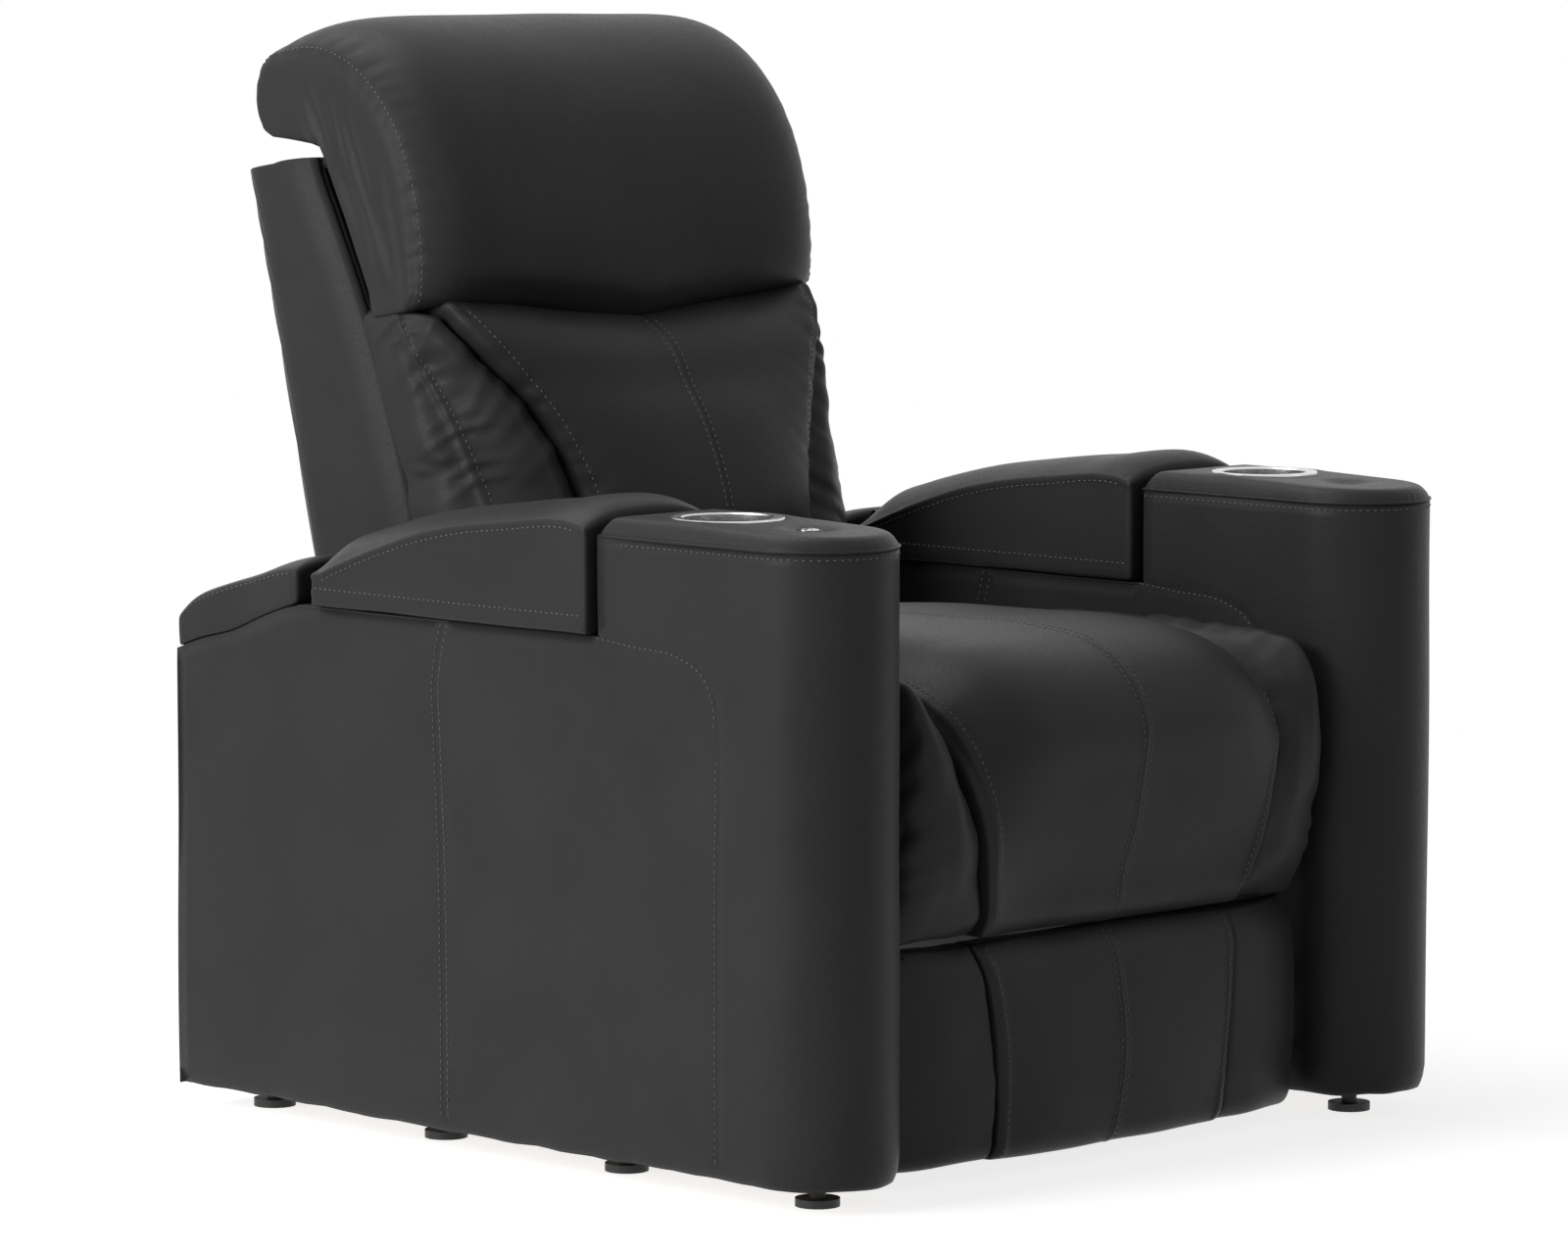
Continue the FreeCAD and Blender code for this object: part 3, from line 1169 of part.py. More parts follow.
def back_brackets():
    """Plates from the frame's feet to the recline pins, and the lug for the actuator."""
    y, z = BACK_AXIS
    depth = "sizes.back_frame_depth"
    low, high = "sizes.back_frame_bottom + 4", "sizes.shell_bottom - 4"
    corners = [
        (f"{y} - 14", f"{z} - 10"), (f"{y} + 6", f"{z} - 16"),
        (back_plane(low, f"{depth} - 50"), low), (back_plane(high, f"{depth} - 50"), high),
        (back_plane(high, f"{depth} + 10"), high), (f"{y} - 12", f"{z} + 12"),
    ]
    span = (f"-{STILE_OUT} - sizes.plate_gauge", f"-{STILE_OUT}")
    pin = rod("back_pin", "x", "sizes.back_pin", BACK_AXIS, (f"-{PLATE_OUT}", f"-{STILE_OUT}"))
    right = fuse("back_bracket_right", [plate("back_bracket", "yz", corners, span), pin])
    across = (f"{RECLINE_X} - {LUG_GAP} - {LUG_GAUGE}", f"{RECLINE_X} - {LUG_GAP}")
    slot = slotted_lug("back", BACK_AXIS, "-90", f"{RECLINE_DROP} - 7", f"{RECLINE_DROP} + 27", "9",
                       across)
    rail = "sizes.back_frame_bottom + 70"
    hanger = plate("lug_hanger", "yz", [
        (f"{y} - 17", z), (f"{y} + 17", z), (back_plane(rail, depth), rail),
        (back_plane(f"{rail} + 30", depth), f"{rail} + 30"),
        (back_plane(f"{rail} + 30", f"{depth} + 14"), f"{rail} + 30"),
    ], across)
    lug = fuse("recline_lug", [slot, hanger])
    return group("back_brackets", [right, mirror("back_bracket_left", right), lug])


def back_springs():
    """Four springs across the front of the back frame, below the middle rail."""
    low = value("sizes.back_frame_bottom + 70") + 12
    lean = math.radians(value("sizes.back_lean"))
    length = (value(MIDDLE_RAIL) - low + 14) / math.cos(lean)
    depth = value("sizes.back_frame_depth") + value("sizes.spring_wire") / math.cos(lean) + 0.05
    start = value(back_plane(str(low), str(depth)))
    turn = Rotation(Vector(1, 0, 0), 90 - math.degrees(lean))
    spread = value(STILE_OUT) * 0.25
    places = [spread * step for step in (-2.1, -0.7, 0.7, 2.1)]
    return sinuous("back_springs", length, 20, places, Placement(Vector(0, start, low), turn))


def lumbar_levels():
    """Level, half width at the seams, y of the seams and y of the crown, from below upwards."""
    nose = value("sizes.lumbar_nose")
    bottom, top = value("sizes.lumbar_bottom"), value("sizes.lumbar_top")
    forms = [(150, 12, 2), (150, 10, -4), (151, 14, -6), (155, 30, -4), (171, 48, 17), (201, 75, 52),
             (250, 128, 108)]
    return [(level, half, nose + seam, nose + crown)
            for (level, _), (half, seam, crown) in zip(stations(bottom, top, len(forms)), forms)]


def cushion_rear(level):
    return value(back_plane(str(level), "sizes.back_frame_depth + 2 * sizes.spring_wire + 1"))


def lumbar_cushion():
    """Centre cushion of the back, wider towards its top."""
    sections = []
    for level, half, seam, crown in lumbar_levels():
        rear = cushion_rear(level)
        sections.append((level, [
            (half, rear), (-half, rear), (-half, seam, seam - crown), (half, seam),
        ]))
    form = soft("lumbar_form", loft_along_z(sections))
    outer = "(sizes.head_arm_x + 2.5 * sizes.plate_gauge + 3)"
    inner = "(sizes.head_arm_x - 3)"
    sides = {"right": (f"-{outer}", f"-{inner}"), "left": (inner, outer)}
    slots = [
        block(f"lumbar_slot_{side}", span, ("sizes.head_axis_y - 20", "sizes.head_axis_y + 200"),
              ("sizes.head_axis_z - 14", "sizes.lumbar_top + 10"))
        for side, span in sides.items()
    ]
    slots.append(block("lumbar_lug_slot",
                       (f"{RECLINE_X} - {LUG_GAP} - {LUG_GAUGE} - 2", f"{RECLINE_X} - {LUG_GAP} + 2"),
                       ("sizes.back_axis_y", "sizes.back_axis_y + 160"),
                       ("sizes.lumbar_bottom - 10", "sizes.back_frame_bottom + 104")))
    return cut("lumbar_cushion", form, group("lumbar_slots", slots))


def back_bolster():
    """Gathered cushion between the lumbar cushion and the right wing of the shell."""
    outer, slot = value("sizes.shell_half") - 1.5, value(STILE_OUT) - 1
    wing = [(value(level), value(back_plane(level, depth))) for level, depth in WING_EDGE]
    bottom = value("sizes.lumbar_bottom")
    top = value("sizes.lumbar_top") + 4

    def edge(level):
        if level <= wing[0][0]:
            return wing[0][1]
        for (low, start), (high, end) in zip(wing, wing[1:]):
            if level <= high:
                return start + (end - start) * (level - low) / (high - low)
        return wing[-1][1]

    nose = value("sizes.lumbar_nose")
    forms = [(152, 14, 246, 50), (152, 12, 248, 56), (153, 16, 250, 66), (157, 32, 256, 84),
             (174, 52, 264, 114), (206, 80, 273, 152), (254, 132, 286, 192)]
    sections = []
    for (level, _), form in zip(stations(bottom, top, len(forms)), forms):
        half, seam, ridge, ridge_y = form[0], nose + form[1], form[2], nose + form[3]
        rear = cushion_rear(level)
        stop = edge(level) - 3
        sections.append((level, [
            (-half, rear), (-slot, rear), (-slot, stop), (-outer, stop),
            (-ridge, min(ridge_y, stop - 2), 12), (-half, seam),
        ]))
    return soft("back_bolster_right", loft_along_z(sections))


def headrest_outline(swell):
    """Side view of the headrest; swell runs from 0 at its side seam to 1 at its middle."""
    crown = value("sizes.head_crown") * swell
    axis_y, axis_z = value("sizes.head_axis_y"), value("sizes.head_axis_z")
    rear = value("sizes.head_rear")
    low = axis_z + 16
    top = value("sizes.head_seam")
    notch_level = value("sizes.shell_top") + 9

    def wing(level):
        return value(head_rear_line(str(level), "0"))

    return [
        (wing(low), low),
        (wing(notch_level), notch_level),
        (rear - 12, notch_level + 24),
        (rear - 1 + swell, notch_level + 60, 3),
        (rear - 9, top - 10 + crown * 0.3, 5 + 5 * swell),
        (rear - 95 - 18 * swell, top + crown, 10 + 5 * swell),
        (axis_y + 60 - 32 * swell, axis_z + 211 + crown * 0.7, 9),
        (axis_y + 14 - 44 * swell, axis_z + 86, 5),
        (axis_y + 16 - 42 * swell, axis_z + 26 - 9 * swell),
        (axis_y + 22 - 24 * swell, axis_z + 16 - 3 * swell),
    ]


def headrest_cushion():
    """Large cushion that wraps from the lumbar's top over the shell's top edge."""
    half = value("sizes.head_half")
    sections = [(x, headrest_outline(1 - abs(share) ** 3)) for x, share in stations(-half, half, 13)]
    return soft("headrest_cushion", loft_along_x(sections))


def head_rear_line(level, gap):
    """Y behind the headrest cushion at a level."""
    plane = back_plane(level, "sizes.wing_top_depth + sizes.head_gap")
    return f"({plane} - (sizes.shell_top - ({level})) * sizes.head_slope + ({gap}))"


BOARD_FOOT = "(sizes.head_axis_z + 26)"


def headrest_board():
    """Plywood board on the rear of the headrest's cushion, inside the shell."""
    top = "(sizes.shell_top - 22)"
    corners = [
        (head_rear_line(BOARD_FOOT, "0.5"), BOARD_FOOT),
        (head_rear_line(BOARD_FOOT, "11"), BOARD_FOOT),
        (head_rear_line(top, "11"), top),
        (head_rear_line(top, "0.5"), top),
    ]
    return plate("headrest_board", "yz", corners, (f"-{STILE_OUT} + 24", f"{STILE_OUT} - 24"))


def headrest_arms():
    """Pair of hinge arms from the headrest's board forward to the hinge axis."""
    y, z = HEAD_AXIS
    span = ("-sizes.head_arm_x - sizes.plate_gauge", "-sizes.head_arm_x")
    corners = [
        (y, f"{z} - 8"), (head_rear_line(BOARD_FOOT, "9"), f"{z} - 8"),
        (head_rear_line(BOARD_FOOT, "11"), BOARD_FOOT), (head_rear_line(BOARD_FOOT, "0.5"), BOARD_FOOT),
        (head_rear_line(BOARD_FOOT, "-7"), f"{z} + 6"), (y, f"{z} + 6"),
    ]
    eye = rod("head_arm_eye", "x", "8", HEAD_AXIS, span)
    pin = rod("head_arm_pin", "x", "sizes.pivot_pin - 1", HEAD_AXIS,
              ("-sizes.head_arm_x - 2.5 * sizes.plate_gauge", "-sizes.head_arm_x"))
    right = fuse("headrest_arm_right", [plate("head_arm", "yz", corners, span), eye, pin])
    return group("headrest_arms", [right, mirror("headrest_arm_left", right)])


def headrest_brackets():
    """Pair of brackets from the middle rail of the back frame to the headrest's hinge."""
    y, z = HEAD_AXIS
    outer = "sizes.head_arm_x + 2.5 * sizes.plate_gauge"
    span = (f"-({outer})", f"-({outer}) + sizes.plate_gauge")
    depth = "sizes.back_frame_depth"
    corners = [
        (y, f"{z} - 7"),
        (back_plane(f"{z} - 7", depth), f"{z} - 7"),
        (back_plane(f"{z} + 18", depth), f"{z} + 18"),
        (back_plane(f"{z} + 18", f"{depth} + 8"), f"{z} + 18"),
        (back_plane(f"{z} + 5", f"{depth} + 16"), f"{z} + 5"),
        (y, f"{z} + 5"),
    ]
    strap = plate("head_strap", "yz", corners, span)
    eye = rod("head_strap_eye", "x", "8", HEAD_AXIS, span)
    bore = rod("head_strap_bore", "x", "sizes.pivot_pin - 1 + sizes.pivot_play", HEAD_AXIS,
               (f"{span[0]} - 1", f"{span[1]} + 1"))
    right = cut("headrest_bracket_right", fuse("head_strap_form", [strap, eye]), bore)
    return group("headrest_brackets", [right, mirror("headrest_bracket_left", right)])


keep("back_shell", back_shell())
keep("back_frame", back_frame())
keep("back_brackets", back_brackets())
keep("back_springs", back_springs())
keep("lumbar_cushion", lumbar_cushion())
keep("back_bolster_right", back_bolster())
keep("headrest_cushion", headrest_cushion())
keep("headrest_board", headrest_board())
keep("headrest_arms", headrest_arms())
keep("headrest_brackets", headrest_brackets())

# Left-hand copies of the pieces that come in pairs
for piece in list(nodes):
    if piece.Label.endswith("_right") and piece.Label != "arm_top_pad_right":
        node = piece.Label.replace("_right", "_left")
        keep(node, mirror(f"{node}_copy", piece))

document.recompute()

faults = [item.Name for item in document.Objects if "Invalid" in item.State or "Error" in item.State]
for piece in nodes:
    if piece.Shape.isNull() or not piece.Shape.isValid() or not piece.Shape.Solids:
        faults.append(piece.Label)
if faults:
    raise SystemExit("Failed to build: " + ", ".join(faults))

os.makedirs("parts", exist_ok=True)
for piece in nodes:
    piece.Shape.exportStep(f"parts/{piece.Label}.step")
    print(piece.Label, len(piece.Shape.Solids), round(piece.Shape.Volume))
box = Part.makeCompound([piece.Shape for piece in nodes]).BoundBox
print("pieces", len(nodes), "box", box)
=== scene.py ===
import math
from bisect import bisect_right

import bmesh
import bpy
from mathutils import Matrix, Vector, noise
from mathutils.bvhtree import BVHTree
from mathutils.kdtree import KDTree


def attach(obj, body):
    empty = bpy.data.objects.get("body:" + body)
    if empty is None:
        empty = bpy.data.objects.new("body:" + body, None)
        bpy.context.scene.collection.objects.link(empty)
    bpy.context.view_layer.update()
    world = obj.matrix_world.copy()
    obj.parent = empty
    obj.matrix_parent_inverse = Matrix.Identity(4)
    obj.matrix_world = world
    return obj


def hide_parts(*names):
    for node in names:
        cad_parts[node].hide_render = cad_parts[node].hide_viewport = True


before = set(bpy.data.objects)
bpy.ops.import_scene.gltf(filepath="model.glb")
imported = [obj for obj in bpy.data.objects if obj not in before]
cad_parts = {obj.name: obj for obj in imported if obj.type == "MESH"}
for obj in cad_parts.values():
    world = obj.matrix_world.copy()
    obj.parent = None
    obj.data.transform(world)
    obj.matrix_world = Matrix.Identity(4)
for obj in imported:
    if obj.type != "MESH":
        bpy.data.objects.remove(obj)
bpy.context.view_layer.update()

# Sizes are in millimetres until a piece is finished; x < 0 is the sitter's right
MM = 0.001
RIGHT, LEFT = -1, 1
SIDE_NAME = {RIGHT: "right", LEFT: "left"}
ARM_MIDDLE, ARM_HALF, LID_HALF = 391.5, 78.5, 88.0
ARM_NOSE, ARM_REAR, COLUMN_REAR = -436.5, 430.0, -212.5
ARM_FOOT, DECK, COLUMN_TOP = 26.0, 542.0, 641.0
SEAT_WIDTH, FOOTREST_WIDTH, LUMBAR_WIDTH, HEADREST_WIDTH = 404.0, 360.0, 400.0, 578.0
BACK_FOOT, SHELL_HALF, CAP_FRONT = 410.0, 290.0, 237
THREAD_RADIUS, STITCH_PITCH = 0.75, 7.5
DOUBLE_ROW = (-5.5, 5.5)


# Camera and light

def set_camera():
    data = bpy.data.cameras.new("camera")
    data.sensor_width = 36
    data.lens = 162.41
    data.clip_end = 60
    camera = bpy.data.objects.new("camera", data)
    camera.location = (-5.1523, -5.2227, 1.2591)
    camera.rotation_euler = Vector((0.6981, 0.7086, -0.1026)).to_track_quat("-Z", "Y").to_euler()
    bpy.context.scene.collection.objects.link(camera)
    bpy.context.scene.camera = camera


def add_lamp(name, place, aim, size, power):
    data = bpy.data.lights.new(name, "AREA")
    data.shape = "RECTANGLE"
    data.size, data.size_y = size
    data.energy = power
    lamp = bpy.data.objects.new(name, data)
    lamp.location = place
    lamp.rotation_euler = (Vector(aim) - Vector(place)).to_track_quat("-Z", "Y").to_euler()
    bpy.context.scene.collection.objects.link(lamp)


def set_light():
    add_lamp("lamp_left", (-6.6, 1.2, 2.6), (0, 0, 0.5), (3.4, 3.6), 265)
    add_lamp("lamp_top", (-0.6, 1.0, 3.4), (0, 0, 0.6), (2.6, 1.8), 42)
    add_lamp("lamp_front", (2.4, -3.4, 2.6), (0, 0, 0.5), (1.4, 1.4), 3)


def set_world():
    world = bpy.data.worlds.new("studio")
    bpy.context.scene.world = world
    world.use_nodes = True
    nodes, links = world.node_tree.nodes, world.node_tree.links
    nodes.clear()
    output = nodes.new("ShaderNodeOutputWorld")
    mix = nodes.new("ShaderNodeMixShader")
    seen, lit = nodes.new("ShaderNodeBackground"), nodes.new("ShaderNodeBackground")
    seen.inputs["Strength"].default_value = 1.0
    seen.inputs["Color"].default_value = (1, 1, 1, 1)
    lit.inputs["Strength"].default_value = 0.09
    lit.inputs["Color"].default_value = (1, 1, 1, 1)
    links.new(background_rays(nodes, links), mix.inputs["Fac"])
    links.new(lit.outputs[0], mix.inputs[1])
    links.new(seen.outputs[0], mix.inputs[2])
    links.new(mix.outputs[0], output.inputs["Surface"])


def background_rays(nodes, links):
    """One where the camera, a reflection or a refraction looks at the background."""
    path = nodes.new("ShaderNodeLightPath")
    rays = path.outputs["Is Camera Ray"]
    for name in ("Is Glossy Ray", "Is Transmission Ray"):
        larger = nodes.new("ShaderNodeMath")
        larger.operation = "MAXIMUM"
        links.new(rays, larger.inputs[0])
        links.new(path.outputs[name], larger.inputs[1])
        rays = larger.outputs[0]
    return rays


def floor_finish():
    """White floor that keeps the chair's soft shadow and is plain white further out."""
    material, nodes, links, shader = new_finish("studio_floor", (0.78, 0.78, 0.79), 0.9)
    shader.inputs["Specular IOR Level"].default_value = 0.0
    glow, plain = nodes.new("ShaderNodeEmission"), nodes.new("ShaderNodeEmission")
    glow.inputs["Strength"].default_value = 0.80
    plain.inputs["Strength"].default_value = 1.0
    near, out = nodes.new("ShaderNodeAddShader"), nodes.new("ShaderNodeMixShader")
    seen = nodes.new("ShaderNodeMixShader")
    links.new(glow.outputs[0], near.inputs[0])
    links.new(shader.outputs[0], near.inputs[1])
    where = nodes.new("ShaderNodeTexCoord")
    length = nodes.new("ShaderNodeVectorMath")
    length.operation = "LENGTH"
    links.new(where.outputs["Object"], length.inputs[0])
    links.new(ranged(nodes, links, length.outputs["Value"], 0.0, 1.0, 0.9, 2.0), out.inputs["Fac"])
    links.new(near.outputs[0], out.inputs[1])
    links.new(plain.outputs[0], out.inputs[2])
    links.new(background_rays(nodes, links), seen.inputs["Fac"])
    links.new(shader.outputs[0], seen.inputs[1])
    links.new(out.outputs[0], seen.inputs[2])
    links.new(seen.outputs[0], nodes["Material Output"].inputs["Surface"])
    return material


def set_floor():
    bm = bmesh.new()
    bmesh.ops.create_grid(bm, x_segments=2, y_segments=2, size=30)
    mesh = bpy.data.meshes.new("floor")
    bm.to_mesh(mesh)
    bm.free()
    mesh.materials.append(floor_finish())
    floor = bpy.data.objects.new("floor", mesh)
    bpy.context.scene.collection.objects.link(floor)


# Finishes

def new_finish(name, colour, roughness, metal=0.0):
    material = bpy.data.materials.new(name)
    material.use_nodes = True
    nodes, links = material.node_tree.nodes, material.node_tree.links
    shader = nodes["Principled BSDF"]
    shader.inputs["Base Color"].default_value = (*colour, 1)
    shader.inputs["Roughness"].default_value = roughness
    shader.inputs["Metallic"].default_value = metal
    return material, nodes, links, shader


def place_of(nodes, links, stretch=(1, 1, 1)):
    where = nodes.new("ShaderNodeTexCoord")
    mapping = nodes.new("ShaderNodeMapping")
    mapping.inputs["Scale"].default_value = stretch
    links.new(where.outputs["Object"], mapping.inputs["Vector"])
    return mapping.outputs["Vector"]


def grain(nodes, links, where, scale, detail=3.0, rough=0.5):
    texture = nodes.new("ShaderNodeTexNoise")
    texture.inputs["Scale"].default_value = scale
    texture.inputs["Detail"].default_value = detail
    texture.inputs["Roughness"].default_value = rough
    links.new(where, texture.inputs["Vector"])
    return texture.outputs["Fac"]


def ranged(nodes, links, value, low, high, start=0.3, end=0.7):
    span = nodes.new("ShaderNodeMapRange")
    span.inputs["From Min"].default_value = start
    span.inputs["From Max"].default_value = end
    span.inputs["To Min"].default_value = low
    span.inputs["To Max"].default_value = high
    links.new(value, span.inputs["Value"])
    return span.outputs["Result"]


def tinted(nodes, links, value, dark, light):
    ramp = nodes.new("ShaderNodeValToRGB")
    ramp.color_ramp.elements[0].position = 0.3
    ramp.color_ramp.elements[1].position = 0.7
    ramp.color_ramp.elements[0].color = (*dark, 1)
    ramp.color_ramp.elements[1].color = (*light, 1)
    links.new(value, ramp.inputs["Fac"])
    return ramp.outputs["Color"]


def bumped(nodes, links, height, strength, distance, under=None):
    bump = nodes.new("ShaderNodeBump")
    bump.inputs["Strength"].default_value = strength
    bump.inputs["Distance"].default_value = distance
    links.new(height, bump.inputs["Height"])
    if under is not None:
        links.new(under, bump.inputs["Normal"])
    return bump.outputs["Normal"]


def pebbles(nodes, links, where, scale):
    cells = nodes.new("ShaderNodeTexVoronoi")
    cells.feature = "SMOOTH_F1"
    cells.inputs["Scale"].default_value = scale
    cells.inputs["Smoothness"].default_value = 0.7
    links.new(where, cells.inputs["Vector"])
    return cells.outputs["Distance"]


def leather_finish(name, shade, roughness=0.43):
    material, nodes, links, shader = new_finish(name, (shade,) * 3, roughness)
    shader.inputs["Specular IOR Level"].default_value = 0.14
    where = place_of(nodes, links)
    broad = grain(nodes, links, where, 9.0, 2.0)
    dark = tuple(shade * part for part in (0.90, 0.89, 0.89))
    light = tuple(shade * part for part in (1.09, 1.08, 1.07))
    links.new(tinted(nodes, links, broad, dark, light), shader.inputs["Base Color"])
    fine = grain(nodes, links, where, 260.0, 4.0, 0.6)
    links.new(ranged(nodes, links, fine, roughness - 0.05, roughness + 0.07), shader.inputs["Roughness"])
    pebble = bumped(nodes, links, pebbles(nodes, links, where, 780.0), 0.32, 0.0004)
    crease = bumped(nodes, links, fine, 0.22, 0.0007, pebble)
    soft = bumped(nodes, links, grain(nodes, links, where, 16.0, 2.0), 0.20, 0.004, crease)
    links.new(soft, shader.inputs["Normal"])
    return material


def textured(name, colour, roughness, texture, shades, gloss=None, bump=None, metal=0.0,
             stretch=(1, 1, 1)):
    """A finish whose shade, gloss and relief follow one grain."""
    material, nodes, links, shader = new_finish(name, colour, roughness, metal)
    value = grain(nodes, links, place_of(nodes, links, stretch), *texture)
    links.new(tinted(nodes, links, value, *shades), shader.inputs["Base Color"])
    if gloss:
        links.new(ranged(nodes, links, value, *gloss), shader.inputs["Roughness"])
    if bump:
        links.new(bumped(nodes, links, value, *bump), shader.inputs["Normal"])
    return material, shader


def thread_finish():
    material, _ = textured("thread", (0.13, 0.127, 0.123), 0.62, (900.0, 2.0),
                           ((0.09, 0.088, 0.086), (0.18, 0.176, 0.17)), bump=(0.5, 0.0003))
    return material


def timber_finish():
    material, _ = textured("plywood", (0.52, 0.37, 0.22), 0.62, (3.0, 5.0, 0.62),
                           ((0.36, 0.235, 0.13), (0.58, 0.43, 0.27)), gloss=(0.52, 0.72),
                           bump=(0.25, 0.0006), stretch=(14.0, 1.6, 60.0))
    return material


def backing_cloth_finish():
    """Black lining cloth that is stapled over the boards that can be seen."""
    material, shader = textured("black_backing_cloth", (0.012, 0.012, 0.012), 0.9, (480.0, 3.0, 0.7),
                                ((0.008, 0.008, 0.008), (0.020, 0.020, 0.020)), bump=(0.5, 0.0005),
                                stretch=(1.0, 1.0, 3.0))
    shader.inputs["Specular IOR Level"].default_value = 0.1
    return material


def painted_steel_finish():
    """Black paint with a fine orange peel over slow changes of shade."""
    material, nodes, links, shader = new_finish("painted_steel", (0.022, 0.022, 0.024), 0.42)
    where = place_of(nodes, links)
    peel = grain(nodes, links, where, 520.0, 2.0)
    links.new(ranged(nodes, links, peel, 0.34, 0.52), shader.inputs["Roughness"])
    links.new(tinted(nodes, links, grain(nodes, links, where, 14.0), (0.018, 0.018, 0.020),
                     (0.030, 0.030, 0.032)), shader.inputs["Base Color"])
    links.new(bumped(nodes, links, peel, 0.20, 0.0003), shader.inputs["Normal"])
    return material


def plated_steel_finish():
    material, _ = textured("zinc_plate", (0.55, 0.56, 0.57), 0.34, (70.0, 4.0),
                           ((0.44, 0.45, 0.46), (0.63, 0.64, 0.64)), gloss=(0.26, 0.44),
                           bump=(0.08, 0.0003), metal=1.0)
    return material


def cup_steel_finish():
    material, shader = textured("brushed_cup_steel", (0.62, 0.62, 0.63), 0.24, (5.0, 3.0, 0.7),
                                ((0.56, 0.56, 0.57), (0.68, 0.68, 0.69)), gloss=(0.16, 0.30),
                                bump=(0.05, 0.0002), metal=1.0, stretch=(60.0, 60.0, 900.0))
    shader.inputs["Anisotropic"].default_value = 0.5
    return material


def chrome_finish():
    material, _ = textured("control_chrome", (0.80, 0.80, 0.81), 0.10, (90.0, 3.0),
                           ((0.76, 0.76, 0.77), (0.84, 0.84, 0.85)), gloss=(0.07, 0.17), metal=1.0)
    return material


def plastic_finish(name, shade, roughness, scale):
    material, _ = textured(name, (shade,) * 3, roughness, (scale, 3.0),
                           ((shade * 0.85,) * 3, (shade * 1.15,) * 3),
                           gloss=(roughness - 0.06, roughness + 0.08), bump=(0.25, 0.0003))
    return material


# Lines and surfaces

def smooth_line(points, step=4.0):
    """Points about a step apart on a smooth line through the given ones."""
    points = [Vector(point) for point in points]
    spans = [max((b - a).length, 1e-6) for a, b in zip(points, points[1:])]
    slopes = [(b - a) / span for a, b, span in zip(points, points[1:], spans)]
    tangents = [slopes[0]]
    for index in range(1, len(points) - 1):
        before, after = spans[index - 1], spans[index]
        tangents.append((slopes[index - 1] * after + slopes[index] * before) / (before + after))
    tangents.append(slopes[-1])
    line = []
    for index, span in enumerate(spans):
        count = max(1, round(span / step))
        for part in range(count):
            t = part / count
            line.append(
                points[index] * (2 * t ** 3 - 3 * t * t + 1)
                + tangents[index] * span * (t ** 3 - 2 * t * t + t)
                + points[index + 1] * (3 * t * t - 2 * t ** 3)
                + tangents[index + 1] * span * (t ** 3 - t * t)
            )
    line.append(points[-1])
    return line


def walk(points, smooth=True):
    """A line that gives its point at a share of its length, from 0 to 1."""
    line = smooth_line(points) if smooth else [Vector(point) for point in points]
    gone = [0.0]
    for a, b in zip(line, line[1:]):
        gone.append(gone[-1] + (b - a).length)

    def at(share):
        goal = min(max(share, 0.0), 1.0) * gone[-1]
        index = min(max(bisect_right(gone, goal), 1), len(line) - 1)
        span = max(gone[index] - gone[index - 1], 1e-9)
        return line[index - 1].lerp(line[index], (goal - gone[index - 1]) / span)

    at.length = gone[-1]
    return at


def crossing(at, axis, value):
    """The point of a line where one of its coordinates, which only grows, reaches a value."""
    low, high = 0.0, 1.0
    for _ in range(24):
        middle = (low + high) / 2
        if at(middle)[axis] < value:
            low = middle
        else:
            high = middle
    return at(low)


def skin(rails):
    """A smooth sheet over lines that run side by side; rails are (place across, points)."""
    places = [place for place, _ in rails]
    walks = [walk(points) for _, points in rails]

    def at(across, along):
        stops = [one(along) for one in walks]
        slopes = [(b - a) / (q - p) for a, b, p, q in zip(stops, stops[1:], places, places[1:])]
        index = min(max(bisect_right(places, across) - 1, 0), len(places) - 2)

        def tangent(stop):
            if stop == 0 or stop == len(stops) - 1:
                return slopes[0 if stop == 0 else -1]
            before, after = places[stop] - places[stop - 1], places[stop + 1] - places[stop]
            return (slopes[stop - 1] * after + slopes[stop] * before) / (before + after)

        span = places[index + 1] - places[index]
        t = (across - places[index]) / span
        return (
            stops[index] * (2 * t ** 3 - 3 * t * t + 1)
            + tangent(index) * span * (t ** 3 - 2 * t * t + t)
            + stops[index + 1] * (3 * t * t - 2 * t ** 3)
            + tangent(index + 1) * span * (t ** 3 - t * t)
        )

    return at


def ruled(length, step, near=(), ends=(2.0, 5.0, 9.0)):
    """Shares from 0 to 1 where a surface has rows: one each step, and more near its ends and seams."""
    marks = [0.0, 1.0]
    marks += [gap / length for gap in ends] + [1 - gap / length for gap in ends]
    for place in near:
        marks += [place + gap / length for gap in (-6.0, -3.0, 0.0, 3.0, 6.0)]
    count = max(1, round(length / step))
    marks += [index / count for index in range(1, count)]
    kept = []
    for mark in marks:
        if 0 <= mark <= 1 and all(abs(mark - other) * length > 1.6 for other in kept):
            kept.append(mark)
    return sorted(kept)


